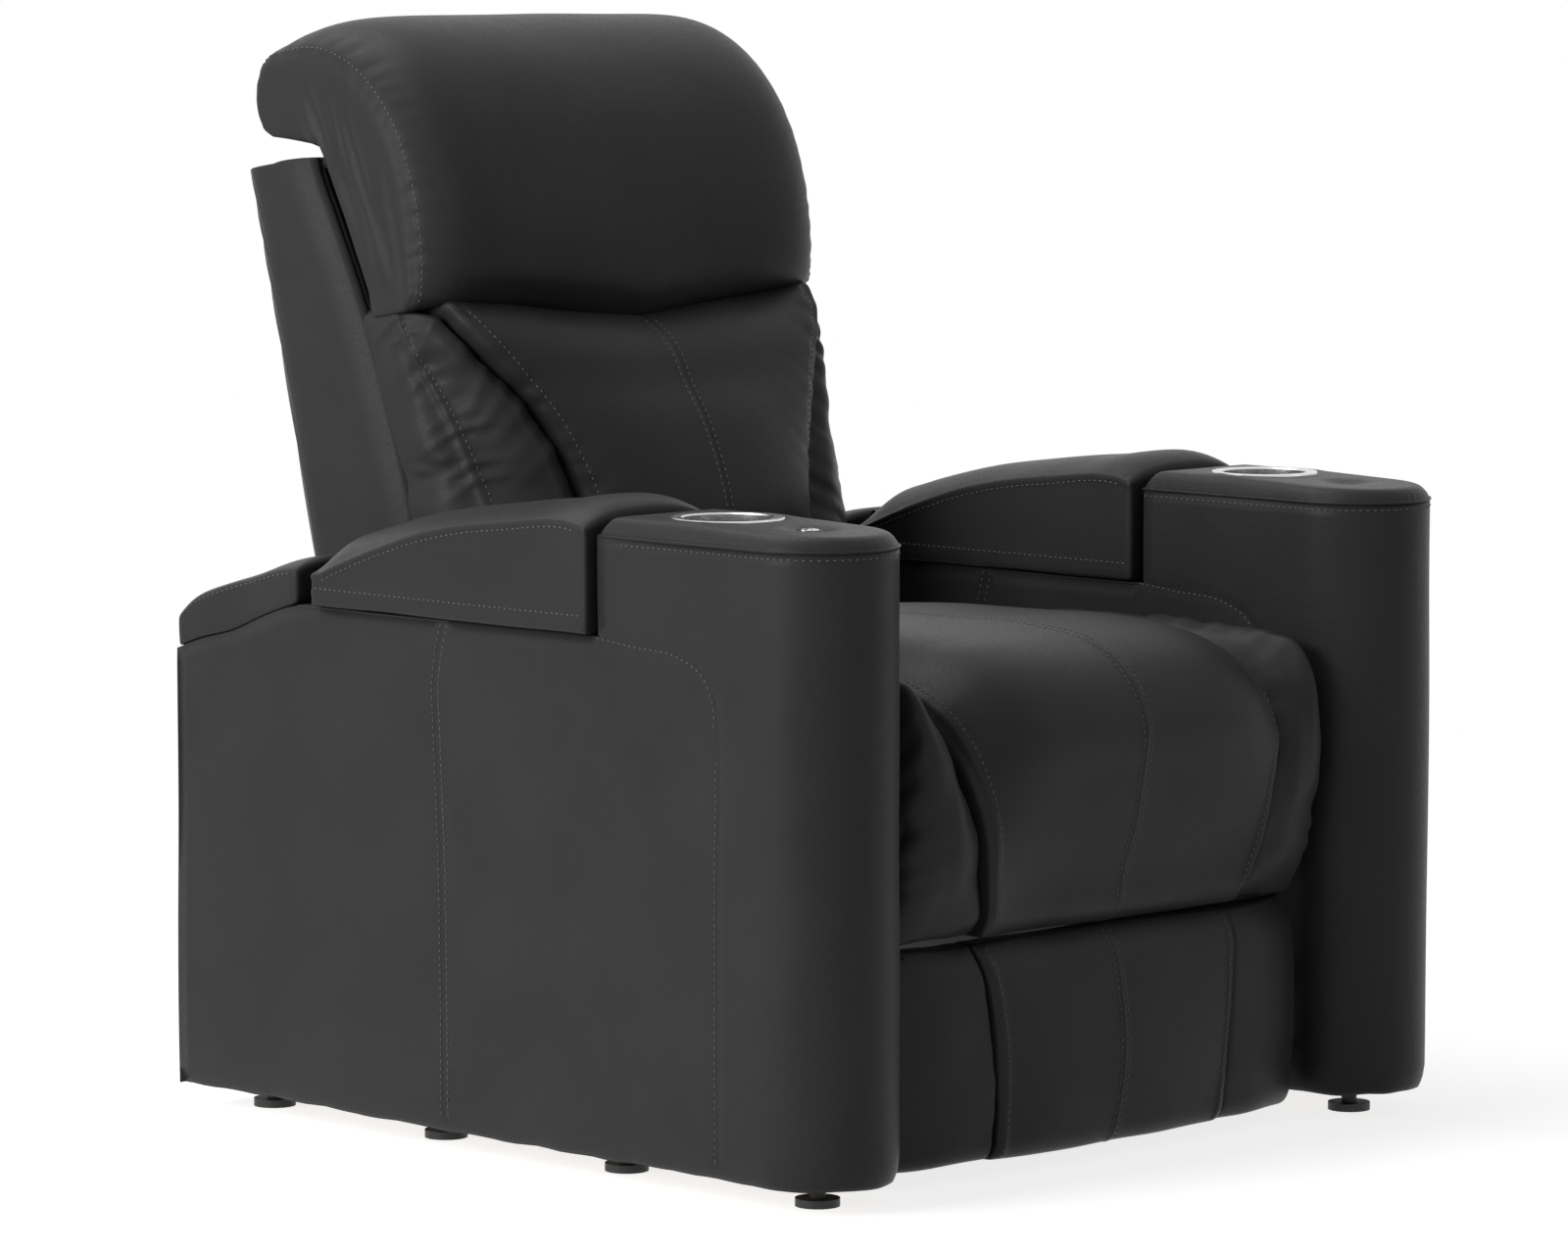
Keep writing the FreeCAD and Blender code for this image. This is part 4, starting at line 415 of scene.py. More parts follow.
def padded_block(sizes, rows, radii, place):
    """A closed box of quads with rounded edges; place turns shares of its sizes into a point."""
    bm = bmesh.new()
    bmesh.ops.create_cube(bm, size=1.0)
    for axis, marks in enumerate(rows):
        edges = [edge for edge in bm.edges
                 if abs((edge.verts[0].co - edge.verts[1].co)[axis]) > 0.5]
        if len(marks) > 2:
            bmesh.ops.subdivide_edges(bm, edges=edges, cuts=len(marks) - 2, use_grid_fill=True)
    for vert in bm.verts:
        shares = [marks[round((vert.co[axis] + 0.5) * (len(marks) - 1))]
                  for axis, marks in enumerate(rows)]
        vert.co = place(*rounded(shares, sizes, radii))
    return bm


def grid_sheet(columns, rows, place):
    """A sheet of quads with a corner at each pair of marks; place turns a pair into a point."""
    bm = bmesh.new()
    bmesh.ops.create_grid(bm, x_segments=len(columns) - 1, y_segments=len(rows) - 1, size=0.5)
    for vert in bm.verts:
        column = columns[round((vert.co.x + 0.5) * (len(columns) - 1))]
        row = rows[round((vert.co.y + 0.5) * (len(rows) - 1))]
        vert.co = place(column, row)
    return bm


def evenly(count, start=0.0, end=1.0):
    """Marks from start to end, with a count of equal steps between them."""
    return [start + (end - start) * index / count for index in range(count + 1)]


def rounded(shares, sizes, radii):
    """Shares of a box moved inwards where the box's edges and corners are rounded."""
    core = []
    for share, size, radius in zip(shares, sizes, radii):
        core.append(min(max(share * size, radius), size - radius))
    offsets = [(share * size - middle) / radius
               for share, size, middle, radius in zip(shares, sizes, core, radii)]
    reach = math.sqrt(sum(part * part for part in offsets))
    if reach > 1e-9:
        offsets = [part / reach for part in offsets]
    return [(middle + part * radius) / size
            for middle, part, radius, size in zip(core, offsets, radii, sizes)]


def line_tree(line):
    tree = KDTree(len(line))
    for index, point in enumerate(line):
        tree.insert(point, index)
    tree.balance()
    return tree


def press(bm, line, depth, width):
    """Sink a surface along a line, as a sewn seam does."""
    tree = line_tree(line)
    bm.normal_update()
    moves = []
    for vert in bm.verts:
        gap = tree.find(vert.co)[2]
        if gap < width * 3:
            moves.append((vert, vert.normal * -depth * math.exp(-(gap / width) ** 2)))
    for vert, move in moves:
        vert.co += move


def gather(bm, line, depth, pitch, reach, seed, lean=0.0):
    """Short folds that run off a seam, deepest at the seam and gone at their reach."""
    tree = line_tree(line)
    step = (line[1] - line[0]).length
    bm.normal_update()
    moves = []
    for vert in bm.verts:
        _, index, gap = tree.find(vert.co)
        if gap > reach:
            continue
        along = index * step + gap * lean
        phase = along / pitch + 0.8 * noise.noise(Vector((along / (pitch * 2.2), seed, 0.3)))
        fold = abs(math.sin(math.pi * phase))
        weight = 0.55 + 0.9 * noise.noise(Vector((along / (pitch * 1.4), seed + 7.0, 1.7)))
        fade = (1 - gap / reach) ** 1.4 * min(1.0, gap / 3.0 + 0.25)
        moves.append((vert, vert.normal * depth * max(weight, 0.1) * fade * (fold - 0.8)))
    for vert, move in moves:
        vert.co += move


def soften(bm, depth, scale, seed, stretch=(1, 1, 1)):
    """Slight uneven swelling of a stuffed surface."""
    bm.normal_update()
    moves = []
    for vert in bm.verts:
        where = Vector([vert.co[axis] * stretch[axis] / scale + seed for axis in range(3)])
        moves.append((vert, vert.normal * depth * noise.noise(where)))
    for vert, move in moves:
        vert.co += move


def refine(bm, line, reach, rounds=1):
    """Split the faces near a line, so that a seam can be pressed into them."""
    tree = line_tree(line)
    for _ in range(rounds):
        edges = [edge for edge in bm.edges
                 if tree.find((edge.verts[0].co + edge.verts[1].co) / 2)[2] < reach
                 and edge.calc_length() > 3.5]
        bmesh.ops.subdivide_edges(bm, edges=edges, cuts=1, use_grid_fill=True)


def crease_fold(bm, start, end, depth, width):
    """One soft fold between two points of a surface."""
    start, end = Vector(start), Vector(end)
    line = smooth_line([start, (start + end) / 2, end], 3.0)
    tree = line_tree(line)
    bm.normal_update()
    moves = []
    for vert in bm.verts:
        _, index, gap = tree.find(vert.co)
        if gap < width * 3:
            share = index / (len(line) - 1)
            fade = math.sin(math.pi * min(max(share, 0.02), 0.98)) ** 0.7
            dip = -math.exp(-(gap / width) ** 2) + 0.45 * math.exp(-((gap - width * 1.7) / width) ** 2)
            moves.append((vert, vert.normal * depth * fade * dip))
    for vert, move in moves:
        vert.co += move


def tube(bm, points, radius, sides=3):
    """A round welt along a line, closed at its ends."""
    curve = bpy.data.curves.new("welt", "CURVE")
    curve.dimensions = "3D"
    curve.bevel_depth = radius
    curve.bevel_resolution = sides
    curve.use_fill_caps = True
    spline = curve.splines.new("POLY")
    spline.points.add(len(points) - 1)
    for stop, point in zip(spline.points, points):
        stop.co = (*point, 1)
    holder = bpy.data.objects.new("welt", curve)
    mesh = bpy.data.meshes.new_from_object(holder)
    bm.from_mesh(mesh)
    bpy.data.objects.remove(holder)
    bpy.data.meshes.remove(mesh)


# Finishing a piece

def finish(bm, name, body, material, replaced=(), levels=1, thickness=None,
           turn_out=True):
    """Makes a mesh in millimetres a finished piece that moves with a body."""
    if turn_out:
        bmesh.ops.remove_doubles(bm, verts=bm.verts, dist=0.02)
        bmesh.ops.recalc_face_normals(bm, faces=bm.faces)
    bmesh.ops.scale(bm, vec=(MM, MM, MM), verts=bm.verts)
    mesh = bpy.data.meshes.new(name)
    bm.to_mesh(mesh)
    bm.free()
    mesh.shade_smooth()
    mesh.materials.append(material)
    piece = bpy.data.objects.new(name, mesh)
    bpy.context.scene.collection.objects.link(piece)
    if thickness:
        wall = piece.modifiers.new("leather", "SOLIDIFY")
        wall.thickness = thickness * MM
        wall.offset = -1
    if levels:
        smooth = piece.modifiers.new("smooth", "SUBSURF")
        smooth.levels = levels
        smooth.render_levels = levels
    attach(piece, body)
    if replaced:
        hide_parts(*replaced)
    return piece


def stitch(piece, lines, body):
    """Sewn thread along lines beside a piece's finished surface."""
    surface = BVHTree.FromObject(piece, bpy.context.evaluated_depsgraph_get())
    thread_half = THREAD_RADIUS * MM
    bm = bmesh.new()
    for line in lines:
        at = walk(line, smooth=False)
        count = max(1, round(at.length / STITCH_PITCH))
        for index in range(count):
            ends = [surface.find_nearest(at((index + part) / count) * MM) for part in (0.2, 0.8)]
            if any(end[0] is None for end in ends):
                continue
            start, end = ends[0][0], ends[1][0]
            run = end - start
            if run.length < 1e-4 or run.length > STITCH_PITCH * MM * 1.6:
                continue
            middle = (start + end) / 2 + ends[0][1] * thread_half * 0.35
            matrix = (Matrix.Translation(middle) @ run.to_track_quat("Z", "Y").to_matrix().to_4x4()
                      @ Matrix.Diagonal((thread_half, thread_half, run.length / 2, 1)))
            bmesh.ops.create_icosphere(bm, subdivisions=1, radius=1, matrix=matrix)
    mesh = bpy.data.meshes.new(piece.name + "_thread")
    bm.to_mesh(mesh)
    bm.free()
    mesh.shade_smooth()
    mesh.materials.append(THREAD)
    thread = bpy.data.objects.new(piece.name + "_thread", mesh)
    bpy.context.scene.collection.objects.link(thread)
    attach(thread, body)


def traced(surface, across, along, count=120):
    """A line on a cushion's face, at one share across it and between two shares along it."""
    start, end = along
    return [surface(across, start + (end - start) * index / count, 1.0) for index in range(count + 1)]


def folded(across):
    """Share across a cushion as a place from -1 to 1."""
    return across * 2 - 1


# Seat

SEAT_TOP = [(0, 74, 515), (0, -100, 528), (0, -240, 531), (0, -369.5, 530), (0, -419.5, 523),
            (0, -467.5, 502), (0, -495.5, 473), (0, -508.5, 442), (0, -503.5, 394), (0, -493.5, 344),
            (0, -474.5, 290), (0, -464.5, 251), (0, -450, 240.5)]
SEAT_SEAM = [(214, 74, 474), (222, -150, 482), (228, -280, 482), (232, -368.5, 476), (235, -446, 446),
             (226, -482, 402), (214, -490, 366), (200, -485, 300), (191, -474, 261),
             (188, -460, 242)]
SEAT_UNDER = [(0, 74, 405), (0, -423, 405), (0, -425, 403), (0, -425, 242)]


def crowned(middle, edge, rear, power, rise=None):
    """Surface of a cushion that is highest along its middle and falls to a seam at each side."""
    top, seam, under = walk(middle), walk(edge), walk(rear, smooth=False)

    def at(across, along, out):
        place = folded(across)
        ridge, side, back = top(along), seam(along), under(along)
        front = ridge.lerp(side, abs(place) ** power)
        point = back.lerp(front, out)
        point.x = place * side.x
        if rise is not None:
            point.z += rise(abs(place), along)
        return point

    at.length = top.length
    return at


def sewn_rows(surface, width, edge_gap, middle_run, edge_run):
    """The double row down a cushion's middle and the single row beside each of its side seams."""
    rows = [traced(surface, 0.5 + gap / width, middle_run) for gap in DOUBLE_ROW]
    for side in (RIGHT, LEFT):
        rows.append(traced(surface, 0.5 + side * (0.5 - edge_gap / width), edge_run))
    return rows


def seat_cushion():
    surface = crowned(SEAT_TOP, SEAT_SEAM, SEAT_UNDER, 6.0)
    sizes = (SEAT_WIDTH, surface.length, 100.0)
    rows = (ruled(SEAT_WIDTH, 11, near=(0.5,), ends=(2, 5, 8, 11, 16)), ruled(surface.length, 11),
            ruled(100, 16, ends=(3, 7)))
    bm = padded_block(sizes, rows, (13.0, 7.0, 9.0), surface)
    soften(bm, 2.4, 130, 2.0)
    press(bm, traced(surface, 0.5, (0.0, 1.0), count=400), 1.3, 2.4)
    for side in (RIGHT, LEFT):
        seam = traced(surface, 0.5 + side * 0.478, (0.02, 0.97), count=400)
        press(bm, seam, 2.2, 3.5)
        gather(bm, seam, 2.2, 34, 42, 3.0 + side)
    piece = finish(bm, "seat_centre_leather", "seat_carriage", LEATHER,
                   ("seat_centre_cushion",))
    rows = sewn_rows(surface, SEAT_WIDTH, 13, (0.01, 0.97), (0.01, 0.97))
    stitch(piece, rows, "seat_carriage")


def seat_side(side):
    rails = [
        (0.0, [(215, 74, 462), (223, -150, 470), (233, -368, 462), (236, -438, 432), (228, -472, 394),
               (216, -480, 364), (202, -474, 296), (194, -466, 264), (191, -452, 247)]),
        (0.45, [(256, 74, 496), (260, -100, 504), (266, -360, 504), (267, -425, 492), (264, -466, 462),
                (258, -487, 418), (255, -491, 370), (251, -484, 318), (248, -468, 272),
                (246, -450, 244)]),
        (0.88, [(297, 74, 478), (297, -100, 490), (297, -400, 496), (297, -436.5, 491),
                (297, -466, 450), (297, -474, 398), (297, -466, 336), (296, -446, 266),
                (296, -434, 244)]),
        (1.0, [(307, 74, 455), (307, -100, 465), (307, -390, 470), (307, -425, 455),
               (307, -450, 420), (307, -455, 380), (307, -448, 330), (306, -432, 270),
               (306, -426, 247)]),
    ]
    sheet, under = skin(rails), walk(SEAT_UNDER, smooth=False)

    def surface(across, along, out):
        front, back = sheet(across, along), under(along)
        back.x = front.x
        point = back.lerp(front, out)
        point.x *= side
        return point

    length = walk(rails[1][1]).length
    rows = (ruled(112, 6), ruled(length, 7), ruled(95, 16, ends=(3, 7)))
    bm = padded_block((112.0, length, 95.0), rows, (10.0, 12.0, 16.0), surface)
    inner = traced(surface, 0.04, (0.0, 1.0), count=400)
    outer = traced(surface, 0.97, (0.3, 1.0), count=300)
    gather(bm, inner, 3.0, 30, 40, 5.0 + side)
    gather(bm, outer, 9.0, 34, 66, 11.0 + side, lean=0.5)
    soften(bm, 4.0, 60, 4.0 + side, (1, 1.4, 1.4))
    finish(bm, f"seat_side_leather_{SIDE_NAME[side]}", "seat_carriage", LEATHER,
           (f"seat_bolster_{SIDE_NAME[side]}",))


# Footrest

FOOT_MIDDLE = [(0, -446, 236), (0, -462, 217), (0, -472, 186), (0, -478.5, 148), (0, -478.5, 89),
               (0, -471, 48), (0, -462, 22), (0, -452, 15.5)]
FOOT_SEAM = [(187, -446, 234), (184, -461, 212), (178, -467, 175), (171, -468, 110), (167, -464, 50),
             (166, -459, 24), (166, -450, 17)]
FOOT_REAR = [(0, -418.0, 234.5), (0, -418.0, 14.5)]


def footrest_middle():
    surface = crowned(FOOT_MIDDLE, FOOT_SEAM, FOOT_REAR, 3.0)
    sizes = (FOOTREST_WIDTH, surface.length, 54.0)
    rows = (ruled(FOOTREST_WIDTH, 11, near=(0.5,), ends=(2, 5, 8, 11, 16)), ruled(surface.length, 10),
            ruled(54, 12, ends=(4,)))
    bm = padded_block(sizes, rows, (5.0, 4.0, 5.0), surface)
    soften(bm, 2.0, 90, 6.0)
    press(bm, traced(surface, 0.5, (0.0, 1.0), count=300), 1.2, 2.4)
    for side in (RIGHT, LEFT):
        seam = traced(surface, 0.5 + side * 0.474, (0.03, 0.97), count=300)
        press(bm, seam, 1.6, 3.0)
    piece = finish(bm, "footrest_middle_leather", "footrest", LEATHER,
                   ("footrest_centre_cushion",))
    rows = sewn_rows(surface, FOOTREST_WIDTH, 12, (0.02, 0.97), (0.02, 0.97))
    stitch(piece, rows, "footrest")


def footrest_side(side):
    seam, under = walk(FOOT_SEAM), walk(FOOT_REAR, smooth=False)

    def surface(across, along, out):
        inner, back = seam(along), under(along)
        reach = 296 - inner.x - 1.0
        x = inner.x + 1.0 + reach * across
        fall = 3.0 + 22.0 * across ** 2.6
        front = Vector((0, inner.y + fall, inner.z))
        point = back.lerp(front, out)
        point.x = x * side
        return point

    rows = (ruled(118, 10), ruled(240, 10), ruled(44, 10, ends=(4,)))
    bm = padded_block((118.0, 240.0, 44.0), rows, (5.0, 4.0, 5.0), surface)
    soften(bm, 2.5, 60, 8.0 + side)
    gather(bm, traced(surface, 0.03, (0.1, 0.95), count=200), 2.0, 36, 34, 9.0 + side)
    finish(bm, f"footrest_side_leather_{SIDE_NAME[side]}", "footrest", LEATHER,
           (f"footrest_side_pad_{SIDE_NAME[side]}",))


# Back

LEAN = math.tan(math.radians(13.5))
SHELL_REAR_Y, SHELL_REAR_Z, CUSHION_REAR = 416.5, 578.0, 99.8
BACK_CROWN = [(0, 93, 410), (0, 87, 470), (0, 82.5, 545), (0, 85.5, 610), (0, 106, 676), (0, 133.5, 727),
              (0, 148.5, 747), (0, 172.5, 786), (0, 196, 806), (0, 230, 821)]
BACK_SEAM = [(150, 103, 410), (150, 100, 476), (151, 105, 545), (156, 121, 610), (163, 130, 640),
             (174, 141, 676), (196, 157.5, 727), (222, 177.5, 768), (250, 199, 796), (262, 222, 812),
             (266, 240, 822)]


def shell_plane(level, depth):
    """Place along Y, at a level, of the plane at a depth in front of the shell's leaning rear face."""
    return SHELL_REAR_Y + (level - SHELL_REAR_Z) * LEAN - depth


def back_rear(level):
    """Rear of the back's cushions, where they lie on the back frame."""
    return shell_plane(level, CUSHION_REAR)


def lumbar():
    rear = [(0, back_rear(level), level) for level in (BACK_FOOT, 806)]

    def upper_edge(place, along):
        return 27 * place ** 1.2 * max(0.0, (along - 0.80) / 0.20)

    surface = crowned(BACK_CROWN, BACK_SEAM, rear, 2.6, upper_edge)
    sizes = (LUMBAR_WIDTH, surface.length, 170.0)
    rows = (ruled(LUMBAR_WIDTH, 10, near=(0.5,), ends=(2, 5, 8, 11, 16)), ruled(surface.length, 7),
            ruled(170, 20, ends=(4, 9)))
    bm = padded_block(sizes, rows, (13.0, 14.0, 15.0), surface)
    soften(bm, 3.0, 120, 12.0)
    press(bm, traced(surface, 0.5, (0.0, 1.0), count=400), 1.2, 2.4)
    for side in (RIGHT, LEFT):
        seam = traced(surface, 0.5 + side * 0.474, (0.02, 0.98), count=400)
        press(bm, seam, 2.2, 3.5)
        gather(bm, seam, 4.2, 26, 60, 14.0 + side, lean=-0.3)
        gather(bm, seam, 1.4, 14, 16, 16.0 + side)
    piece = finish(bm, "lumbar_leather", "back", LEATHER, ("lumbar_cushion",))
    rows = sewn_rows(surface, LUMBAR_WIDTH, 13, (0.0, 0.955), (0.02, 0.965))
    stitch(piece, rows, "back")


BOLSTER_RAILS = [
    (0.0, [(152, 114, 410), (152, 112, 476), (153, 117, 543), (157, 136, 609), (174, 158, 675),
           (206, 186, 742), (254, 222, 800), (268, 244, 828)]),
    (0.30, [(194, 106, 410), (195, 107, 476), (197, 112, 543), (203, 132, 609), (218, 156, 675),
            (242, 188, 742), (274, 232, 800), (280, 256, 830)]),
    (0.58, [(244, 140, 410), (246, 146, 476), (248, 156, 543), (255, 175, 609), (263, 204, 675),
            (273, 238, 742), (285, 272, 798), (288, 286, 826)]),
    (0.80, [(276, 190, 410), (277, 198, 476), (278, 205, 543), (282, 214, 609), (285, 236, 675),
            (288, 264, 742), (290, 294, 794), (290, 303, 818)]),
    (1.0, [(289, 262, 410), (289, 262, 476), (289, 258, 543), (289, 261, 609), (289, 278, 675),
           (289, 303, 742), (289, 324, 786), (289, 332, 811)]),
]


def back_side(side):
    sheet = skin(BOLSTER_RAILS)

    def surface(across, along, out):
        front = sheet(across, along)
        narrowing = front.x * 0.02 if across < 0.9 else 3.0
        rear_y = max(back_rear(front.z) - 2, front.y + 12)
        back = Vector((front.x - narrowing * (1 - out), rear_y, front.z))
        point = back.lerp(front, out)
        point.x *= side
        return point

    rows = (ruled(200, 5), ruled(440, 4.6, ends=(3, 7)), ruled(120, 22, ends=(4, 9)))
    bm = padded_block((200.0, 440.0, 120.0), rows, (9.0, 12.0, 10.0), surface)
    ridge = traced(surface, 0.58, (0.02, 1.0), count=400)
    inner = traced(surface, 0.03, (0.1, 1.0), count=400)
    gather(bm, inner, 5.5, 30, 84, 20.0 + side, lean=0.35)
    gather(bm, ridge, 6.0, 22, 56, 24.0 + side, lean=0.2)
    gather(bm, ridge, 3.0, 10, 24, 28.0 + side, lean=0.1)
    crease_fold(bm, (288 * side, 262, 668), (262 * side, 202, 664), 5.0, 5.0)
    soften(bm, 3.0, 60, 26.0 + side, (1, 1, 1.6))
    press(bm, ridge, 3.6, 3.6)
    piece = finish(bm, f"back_side_leather_{SIDE_NAME[side]}", "back", LEATHER,
                   (f"back_bolster_{SIDE_NAME[side]}",))
    stitch(piece, [traced(surface, 0.545, (0.1, 0.99))], "back")


SHELL_FRONT = [(420, 117), (520, 151), (619, 162), (701, 155), (825, 135.5), (936, 106), (968, 97),
               (990, 96)]


def shell_edge(level):
    """Depth of the wing's front edge ahead of the shell's rear plane."""
    return crossing(walk([(depth, level_at, 0) for level_at, depth in SHELL_FRONT]), 1, level).x


def shell():
    corner, foot, rear_top, wing_rise = 16.0, 422.0, 965.0, 22.0

    def place(across, up):
        share = abs(folded(across))
        top = rear_top + wing_rise * max(0.0, (share - 0.66) / 0.34) ** 0.7
        level = foot + (top - foot) * up
        front = shell_plane(level, shell_edge(level))
        rear = shell_plane(level, 0.5)
        wing = rear - front - corner
        arc = corner * math.pi / 2
        flat = 2 * (SHELL_HALF - corner)
        run = (1 - share) * (wing + arc + flat / 2)
        if run < wing:
            roll = 13.0 * max(0.0, 1 - run / 46.0) ** 2.0
            x, y = SHELL_HALF - roll, front + run
        elif run < wing + arc:
            turn = (run - wing) / corner
            x = SHELL_HALF - corner + corner * math.cos(turn)
            y = rear - corner + corner * math.sin(turn)
        else:
            x, y = SHELL_HALF - corner - (run - wing - arc), rear
        return Vector((math.copysign(x, folded(across)), y, level))

    bm = grid_sheet(evenly(90), ruled(560, 16, ends=(3, 8)), place)
    soften(bm, 2.5, 220, 31.0)
    finish(bm, "back_shell_leather", "back", LEATHER, ("back_shell",), levels=0,
           thickness=11, turn_out=False)

    def top(across, along, out):
        depth = 3 + 102 * along
        level = rear_top + wing_rise * along ** 0.7 - 11 * (1 - out)
        inset = 2.0 + 10.0 * max(0.0, (along - 0.6) / 0.4) ** 2
        return Vector((folded(across) * (SHELL_HALF - inset), shell_plane(level, depth), level))

    rows = (ruled(580, 20), ruled(110, 9), ruled(11, 5, ends=()))
    bm = padded_block((580.0, 110.0, 11.0), rows, (5.0, 5.0, 5.0), top)
    finish(bm, "back_shell_top_leather", "back", LEATHER)
    bm = bmesh.new()
    for side in (RIGHT, LEFT):
        half = (SHELL_HALF - 13.5) * side
        edge = [(half, shell_plane(level, shell_edge(level)) - 1.0, level)
                for level in (424, 470, 520, 570, 619, 660, 701, 740, 780, 825, 860, 900, 936, 965, 978)]
        edge += [(half, shell_plane(986, 105), 986)]
        tube(bm, smooth_line(edge, 9), 3.2)
        tip = [(half, shell_plane(986, 105), 986), (half + 10 * side, shell_plane(984, 70), 984),
               (half + 12 * side, shell_plane(977, 30), 977), (half + 11 * side, shell_plane(965, 4), 965)]
        tube(bm, smooth_line(tip, 6), 2.4)
        back_edge = [((SHELL_HALF - 3.5) * side, shell_plane(level, 2.5), level)
                     for level in (424, 520, 620, 720, 820, 900, 964)]
        tube(bm, smooth_line(back_edge, 14), 2.2)
    finish(bm, "back_shell_welts", "back", WELT, levels=0)


# Headrest

HEAD_CROWN = [(0, 262, 808), (0, 236, 811), (0, 219, 838), (0, 214, 885), (0, 218, 930), (0, 232, 985),
              (0, 260, 1045), (0, 306, 1096), (0, 362, 1126), (0, 418, 1134), (0, 468, 1122),
              (0, 504, 1091), (0, 514.5, 1058), (0, 507, 1030), (0, 492, 1013)]
HEAD_SEAM = [(290, 274, 822), (290, 262, 836), (289, 261, 866), (289, 266, 910), (289, 274, 949),
             (289, 291, 996), (289, 316, 1034), (289, 342, 1060), (289, 374, 1081), (289, 418, 1095),
             (289, 470, 1093), (289, 503, 1084), (289, 511, 1062), (289, 510, 1040), (289, 503, 1023),
             (289, 488, 1011)]
HEAD_SIDE_FOLDS = [((300, 880), (372, 1040)), ((330, 880), (398, 1050)), ((356, 930), (430, 1060)),
                   ((284, 850), (322, 980))]
HEAD_REAR = [(0, 326, 811), (0, 336, 842), (0, 368, 908), (0, 402, 985), (0, 409, 999), (0, 437, 1003),
             (0, 484, 1009)]


def headrest():
    def lower_edge(place, along):
        return (56 * place ** 1.1 - 46 * place ** 5) * max(0.0, 1 - along / 0.30)

    surface = crowned(HEAD_CROWN, HEAD_SEAM, HEAD_REAR, 10.0, lower_edge)
    sizes = (HEADREST_WIDTH, surface.length, 90.0)
    rows = (ruled(HEADREST_WIDTH, 11, ends=(2, 5, 8, 12, 17, 23, 30)),
            ruled(surface.length, 6, ends=(2, 5, 9, 14)), ruled(90, 7, ends=(3, 7)))
    bm = padded_block(sizes, rows, (10.0, 9.0, 10.0), surface)
    for side in (RIGHT, LEFT):
        seam = traced(surface, 0.5 + side * 0.487, (0.02, 0.92), count=500)
        gather(bm, seam, 3.0, 21, 42, 41.0 + side, lean=0.3)
        gather(bm, seam, 1.8, 9, 24, 45.0 + side)
        press(bm, traced(surface, 0.5 + side * 0.4995, (0.02, 0.97), count=500), 2.0, 2.6)
        for index, (start, end) in enumerate(HEAD_SIDE_FOLDS):
            x = 289 * side
            crease_fold(bm, (x, *start), (x, *end), 4.0, 6.5 + index)
    soften(bm, 3.0, 150, 43.0)
    piece = finish(bm, "headrest_leather", "headrest", LEATHER,
                   ("headrest_cushion",))
    rows = [traced(surface, 0.5 + side * (0.5 - 6 / HEADREST_WIDTH), (0.03, 0.94), count=240)
            for side in (RIGHT, LEFT)]
    stitch(piece, rows, "headrest")


# Arms

def arm_line(rear=ARM_REAR, gap=16.0, stops=()):
    """Plan of an arm round its nose, from the inner side to the outer side, about x = 0."""
    straight = set(evenly(round((rear - ARM_NOSE) / gap), ARM_NOSE, rear))
    for stop in stops:
        straight = {place for place in straight if abs(place - stop) > 4} | {stop}
    straight = sorted(straight)
    turns = 28
    inner = [(ARM_HALF, place) for place in reversed(straight)]
    nose = [(ARM_HALF * math.cos(math.pi * index / turns),
             ARM_NOSE - ARM_HALF * math.sin(math.pi * index / turns)) for index in range(1, turns)]
    return inner + nose + [(-ARM_HALF, place) for place in straight]


CAP_FOOT = [(0, 200, 542), (0, 237.5, 541), (0, 285, 528), (0, 338.5, 508), (0, 390, 496),
            (0, 433.5, 482)]


def cap_level(place):
    """Level of the arm's side under the rear cap."""
    return crossing(walk(CAP_FOOT), 1, place).z


